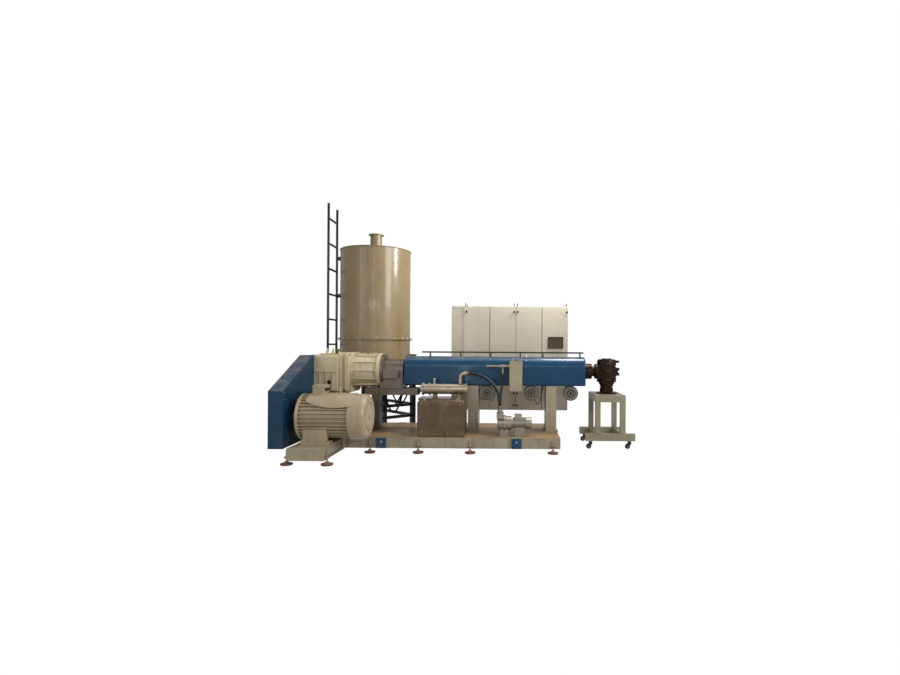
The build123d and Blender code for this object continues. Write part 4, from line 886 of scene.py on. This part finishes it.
boltSets = {
    "postBolts": (gridOf(np.concatenate((postXs - 0.088, postXs + 0.088)), [-0.22, -0.0755, 0.069],
        [0.220]), (0, 0, 1), 0.009, "base_paint"),
    "coolerBolts": (np.concatenate([circle((x, coolerY, coolerZ), (1, 0, 0), 0.077, 8,
        22)[0] for x in (-0.6005, -0.5105, -0.0135)]), (1, 0, 0), 0.0055, "cooler_paint"),
    "coolerElbowBolts": (circle((coolerX, coolerY, coolerZ), (1, 0, 0), 0.077, 8, 22)[0], (-1, 0, 0),
        0.0055, "cooler_paint"),
    "pumpBolts": (circle((0.5005, pumpY, pumpZ), (-1, 0, 0), 0.098, 8)[0], (-1, 0, 0), 0.006, "pump_metal"),
    "pumpCapBolts": (circle((0.4125, pumpY, pumpZ), (-1, 0, 0), 0.056, 6)[0], (-1, 0, 0), 0.005,
        "pump_metal"),
    "pumpFootBolts": (gridOf([0.447, 0.566], [pumpY - 0.067, pumpY + 0.067], [0.220]), (0, 0, 1), 0.006,
        "pump_metal"),
    "adapterBolts": (circle((1.7605, screwY, screwZ), (1, 0, 0), 0.094, 8, 22)[0], (1, 0, 0), 0.009,
        "barrel_steel", "darkSteel"),
    "headTopBolts": (circle((headX, screwY, headTop), (0, 0, 1), 0.100, 12)[0], (0, 0, 1), 0.009,
        "head_steel", "darkSteel"),
    "neckBolts": (circle((headX, screwY, 0.764), (0, 0, 1), 0.132, 12)[0], (0, 0, 1), 0.008, "head_steel",
        "darkSteel"),
    "standPlateBolts": (gridOf([standLow[0] + 0.03, standHigh[0] - 0.03],
        np.linspace(standLow[1] + 0.04, standHigh[1] - 0.04, 4), [standHigh[2]]), (0, 0, 1), 0.008,
        "stand_paint"),
    "footNuts": (footPlaces + (0, 0, 0.099), (0, 0, 1), 0.013, "base_paint"),
    "footJamNuts": (footPlaces + (0, 0, 0.083), (0, 0, -1), 0.013, "base_paint"),
}
for number, (x, y, z) in enumerate(wheelPlaces, 1):
    boltSets["axleNut" + str(number)] = ([(x, y - 0.0255, z)], (0, -1, 0), 0.0075, "caster_steel",
            "boltSteel", "fork_" + str(number))
    boltSets["axleHead" + str(number)] = ([(x, y + 0.0255, z)], (0, 1, 0), 0.0075, "caster_steel",
            "boltSteel", "fork_" + str(number))

# places, axis, profile, slot, finish, sides, lobes and body
turnedSets = {
    "coverFunnel": ([(0.812, -0.175, 1.262)], (0, 0, 1), [(7, 0), (8, 12), (19, 32), (20, 40), (16, 40),
        (5, 22)], "cover_paint", "pelletPaint"),
    "railCollars": (gridOf(standOffs, [screwY], [coverHigh[2]]), (0, 0, 1), [(17, 0), (17, 5), (13.5, 7)],
        "rail_paint", None, 16),
    "ventKnobs": (gridOf([0.6035, 0.7105], [ventLow[1] + 0.05], [1.248]), (0, 0, 1),
        [(11, -1), (11, 2), (6, 4)], "box_paint", "blackPlastic"),
    "ventUnions": (gridOf([0.250, 0.4365, 0.5065], [-0.3455], [1.144]), (1, 0, 0),
        [(24, 0), (24, 9), (20, 10)], "pipe_steel", None, 12, hexagon),
    "blowerDishes": (gridOf(blowerXs, [blowerFace + 0.008], [blowerZ]), (0, -1, 0),
        [(62, 0), (62, 3), (58, 5), (38, 4)], "blower_paint", "darkSteel", 48),
    "blowerHubs": (gridOf(blowerXs, [blowerFace - 0.0119], [blowerZ]), (0, -1, 0),
        [(24, 0), (22, 3), (12, 4.5), (10, 2)], "blower_paint", "darkSteel", 32),
    "tankDrain": ([(tankLow[0] + 0.07, tankLow[1], 0.275)], (0, -1, 0),
        [(20, 0), (20, 6), (13, 7), (13, 26), (17, 27), (17, 40), (12, 42)], "tank_steel", "brass"),
    "coolerPlug": ([(-0.32, coolerY, coolerZ + 0.069)], (0, 0, 1), [(15, 0), (15, 10), (11, 12)],
        "cooler_paint", "brass", 12, hexagon),
    "coolerRiser": ([(-0.46, coolerY, coolerZ + 0.066)], (0, 0, 1),
        [(26, 0), (26, 14), (17, 16), (17, 52), (23, 54), (23, 70), (19, 74), (19, 84), (12, 86)],
        "cooler_paint", "zincPlate"),
    "footSleeves": (footPlaces, (0, 0, 1), [(24, 31), (23, 46.5), (9, 47), (9, 173)], "base_paint", None,
        16),
    "lugPins": (gridOf([-1.1235, 0.6715], [railLow[1] - 0.001], [0.150]), (0, -1, 0),
        [(17, 0), (17, 5), (10, 6), (8, 2)], "base_paint", "zincPlate"),
    "portCollars": (gridOf([0.4485], [-0.6455, -0.4955], [0.556]), (0, 0, 1), [(31, 0), (31, 4), (28, 6)],
        "pump_metal", "brass"),
    "pumpMotorCap": ([(0.8765, pumpY, pumpZ)], (1, 0, 0), [(34, 0), (34, 3), (28, 4), (10, 4)],
        "pump_metal", "darkSteel", 32),
    "dieLip": ([(headX, screwY, headTop)], (0, 0, 1), [(72, 0), (72, 10), (62, 18), (44, 18), (40, 6)],
        "head_steel", "barrelSteel", 48),
    "headJunctionCaps": ([(2.1715, screwY, 1.030), (2.1715, screwY, 1.104)], (1, 0, 0),
        [(21.5, -12), (21.5, -4), (17, -3), (15, 0)], "head_steel", "darkSteel"),
}
for number, place in enumerate(wheelPlaces, 1):
    body = "wheel_" + str(number)
    turnedSets["casterHub" + str(number)] = ([place - (0, 0.0121, 0)], (0, 1, 0),
            [(18, 0), (19, 0.05), (19, 24.15), (18, 24.2)], "caster_rubber", "darkSteel", 32, None, body)

# places, direction of the width, outward normal, size, slot, finish, points round and body
plateSets = {
    "guardSlats": (gridOf([guardHigh[0] - 0.012], [-1.123], 0.553 + 0.042 * np.arange(7)), (0, 1, 0),
        (0.9165, 0, 0.4), (432, 2.5, 11, 0.5), "guard_paint", None, 8),
    "footLugPlates": ([(x, y, 0.083) for x, y, z in footPlaces[:9]], (1, 0, 0), (0, 0, 1), (62, 44, 16, 2),
        "base_paint", None, 8),
    "platformLugPlates": ([(x, y, 0.083) for x, y, z in footPlaces[9:]], (1, 0, 0), (0, 0, 1),
        (44, 62, 16, 2), "base_paint", None, 8),
    "lugPlates": (gridOf([-1.1235, 0.6715], [railLow[1]], [0.133]), (1, 0, 0), (0, -1, 0),
        (134, 138, 0.8, 1), "base_paint", "coverPaint", 8),
    "blowerVanes": (gridOf(blowerXs, [blowerFace + 0.0075], [blowerZ]), (1, 0, 0), (0, -1, 0),
        (176, 4, 7, 1), "blower_paint", None, 8),
    "blowerPosts": (gridOf(blowerXs, [blowerFace + 0.0075], [blowerZ]), (0, 0, 1), (0, -1, 0),
        (176, 4, 7, 1), "blower_paint", None, 8),
    "tankHems": (gridOf([mid("cooling_tank")[0]], [tankLow[1] + 0.001], [0.246, 0.652]), (1, 0, 0),
        (0, -1, 0), (600, 20, 2.2, 3), "tank_steel"),
    "tankLatches": (gridOf([-0.56, -0.125], [tankLow[1] + 0.029], [0.700]), (1, 0, 0), (0, -1, 0),
        (30, 22, 9, 4), "tank_steel", "zincPlate"),
    "cabinetGaskets": (gridOf([0.251, 1.081], [doorFace + 0.0165], [1.239]), (1, 0, 0), (0, -1, 0),
        (5, 1630, 0.8, 1), "cabinet_paint", "blackRubber", 8),
    "cabinetPlinth": ([(0.6665, 0.606, 0.4175)], (1, 0, 0), (0, 0, -1), (1640, 10, 3, 1), "cabinet_paint",
        "darkPaint", 8),
    "feedCover": ([(-1.1135, boxes["feed_housing"][0][1], 1.02)], (1, 0, 0), (0, -1, 0), (210, 120, 6, 8),
        "feed_steel"),
    "headBoxes": ([(headX, screwY - 0.136, z) for z in (0.955, 1.085, 1.185)], (1, 0, 0), (0, -1, 0),
        (74, 34, 22, 4), "head_steel", "darkSteel"),
    "windowPane": ([(1.299, doorFace + 0.0085, 1.49)], (1, 0, 0), (0, -1, 0), (230, 170, 3, 2),
        "cabinet_paint", "windowGlass", 24, "door_4"),
}
for number, x in enumerate(doorXs, 1):
    lockX = x + (0.1785 if number < 3 else -0.1785)
    plateSets["doorHandle" + str(number)] = ([(lockX, doorFace - 0.016, 0.85)], (1, 0, 0), (0, -1, 0),
            (20, 112, 5, 6), "cabinet_paint", "blackPlastic", 24, "door_" + str(number))
for number, x, body, heights in ((1, -0.118, "door_1", [1.97]), (2, 0.640, "door_2", [1.97, 0.685, 0.494]),
        (3, 0.693, "door_3", [1.97, 0.685, 0.494]), (4, 1.476, "door_4", [1.97])):
    plateSets["doorLocks" + str(number)] = (gridOf([x], [doorFace], heights), (1, 0, 0), (0, -1, 0),
            (26, 34, 10, 7), "cabinet_paint", "blackPlastic", 24, body)
for maker, table in ((screws, screwSets), (bolts, boltSets), (fittings, turnedSets), (plates, plateSets)):
    for name, row in table.items():
        maker(name, *row)
    print("made", len(table), "sets with", maker.__name__)

# straps round the covers: four rows, two on the skin and two raised
straps = {"split": (splitX, 0.014, 0.0022), "rearEnd": (rearLow[0] + 0.012, 0.022, 0.0018)}
for name, (x, width, rise) in straps.items():
    rows = [coverRing(x - width / 2, 0.001), coverRing(x - width / 2 + rise, -rise),
            coverRing(x + width / 2 - rise, -rise), coverRing(x + width / 2, 0.001)]
    ringPiece("coverStrap" + name, np.stack(rows), "cover_paint", closed=True)

# hoops: blower guards and rims, heater bands on the head and their screws
for x in blowerXs:
    for radius in (0.094, 0.0755, 0.058):
        label = "blowerGuard" + str(int(x * 1000)) + "_" + str(int(radius * 1000))
        ringPiece(label, hoop((x, blowerFace - 0.001, blowerZ), (0, 1, 0), radius, 0.0022, 64, 6),
                "blower_paint", "zincPlate", closed=True)
    band = [(0.1045, 0), (0.107, 0.002), (0.107, 0.012), (0.1045, 0.014)]
    ringPiece("blowerRim" + str(int(x * 1000)), turned(band, [(x, blowerFace, blowerZ)], (0, 1, 0), 64),
            "blower_paint")
for number, z in enumerate((0.925, 0.990, 1.048, 1.115, 1.170, 1.203)):
    band = [(0.1375, -0.006), (0.1405, -0.005), (0.1405, 0.005), (0.1375, 0.006)]
    ringPiece("headBand" + str(number), turned(band, [(headX, screwY, z)], (0, 0, 1), 64), "head_steel",
            "barrelSteel")
    places = [(headX + 0.141 * np.cos(turn), screwY + 0.141 * np.sin(turn), z) for turn in (-2.3, -0.9)]
    screws("headBandScrews" + str(number), places, (0, 0, 1), 0.006, "head_steel", "boltSteel")

# black lifting eyes over the cast ones: a square ring turned about X
for number, x in enumerate((-0.1375, 0.6405, 0.6925, 1.4705)):
    ringProfile = [(0.0125, -0.0054), (0.0246, -0.0054), (0.0246, 0.0054), (0.0125, 0.0054)]
    rings = turned(ringProfile, gridOf([x], [cabLow[1] + 0.030, cabHigh[1] - 0.030], [2.09]), (1, 0, 0), 32)
    ringPiece("cabinetEyes" + str(number), rings, "cabinet_paint", "blackPlastic", closed=True)

# rubber bead round the door window
edge = roundedOutline(0.236, 0.176, 0.006, 40)
beadPath = np.column_stack((1.299 + edge[:, 0], np.full(40, doorFace), 1.49 + edge[:, 1]))
ringPiece("windowBead", tube(beadPath, 0.004, 8, closed=True, up=(0, 1, 0)), "cabinet_paint", "blackRubber",
        body="door_4", closed=True)

# a fine seam runs along the covers a little above the screw axis
for name, (start, end) in {"rear": (rearLow[0] + 0.004, splitX - 0.008),
        "front": (splitX + 0.008, coverHigh[0] - 0.024)}.items():
    for side, y in (("Front", frontSide), ("Back", backSide)):
        rings = tube(line((start, y, 1.083), (end, y, 1.083), 12), 0.0026, 8)
        ringPiece("coverSeam" + name + side, rings, "cover_paint")

# loose black hoses behind the frame and short cables at the blowers: y and z follow a hanging parabola
hanging = {"feedHose1": ((-1.40, 0.10, 0.90), (-0.98, 0.05, 0.86), 0.36, 0.013),
           "feedHose2": ((-1.34, 0.14, 0.93), (-1.02, 0.16, 0.80), 0.44, 0.013),
           "feedHose3": ((-1.22, 0.08, 0.88), (-0.92, 0.16, 0.84), 0.30, 0.011),
           "blowerCable1": ((0.27, -0.10, 0.745), (0.38, -0.10, 0.860), 0.16, 0.005),
           "blowerCable2": ((0.92, -0.10, 0.745), (1.06, -0.10, 0.860), 0.21, 0.005)}
for name, (start, end, sag, radius) in hanging.items():
    step = np.linspace(0, 1, 28)
    path = line(start, end, 28) - np.outer(4 * step * (1 - step) * sag, (0, 0, 1))
    ringPiece(name, tube(path, radius, 12, up=(0, 1, 0)), "hose_rubber")

# tyres ride on the wheels and stand in for the plain discs
for number, place in enumerate(wheelPlaces, 1):
    tread = [(0.00304, -0.012), (0.026, -0.012), (0.0335, -0.0112), (0.036, -0.007), (0.036, 0.007),
            (0.0335, 0.0112), (0.026, 0.012), (0.00304, 0.012)]
    tyre = ringPiece("casterTyre" + str(number), turned(tread, [place], (0, 1, 0), 48), "caster_rubber",
            body="wheel_" + str(number), closed=True)
    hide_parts("caster_wheel_" + str(number))

# lid handle on the tank, weld beads on the frame and stand
handle = np.array([(-0.06, 0), (-0.06, 0.022), (-0.05, 0.032), (0.05, 0.032), (0.06, 0.022), (0.06, 0)])
handlePath = np.column_stack((handle[:, 0] - 0.45, np.full(6, tankLow[1] + 0.06), 0.72 + handle[:, 1]))
ringPiece("tankLidHandle", tube(handlePath, 0.0045, 10, up=(0, 1, 0)), "tank_steel", "zincPlate")
beads = {
    "postBeadFront": [((x - 0.073, -0.2665, 0.222), (x + 0.073, -0.2665, 0.222)) for x in postXs],
    "standLegBeads": [((x, standLow[1] - 0.001, 0.655), (x + 0.07, standLow[1] - 0.001, 0.655))
                      for x in (standLow[0], standHigh[0] - 0.07)],
    "standFootBeads": [((x, standLow[1] - 0.001, 0.214), (x + 0.07, standLow[1] - 0.001, 0.214))
                       for x in (standLow[0], standHigh[0] - 0.07)],
    "railBeads": [((x, railLow[1] + 0.02, 0.2005), (x + 0.16, railLow[1] + 0.02, 0.2005))
            for x in (-1.9, -0.9, 0.2, 0.9)],
}
for name, runs in beads.items():
    rings = np.concatenate([weldBead(line(start, end, 36), 0.0035) for start, end in runs])
    ringPiece(name, rings, "stand_paint" if "stand" in name else "base_paint")
print("straps, guards, bands, tyres and welds made")
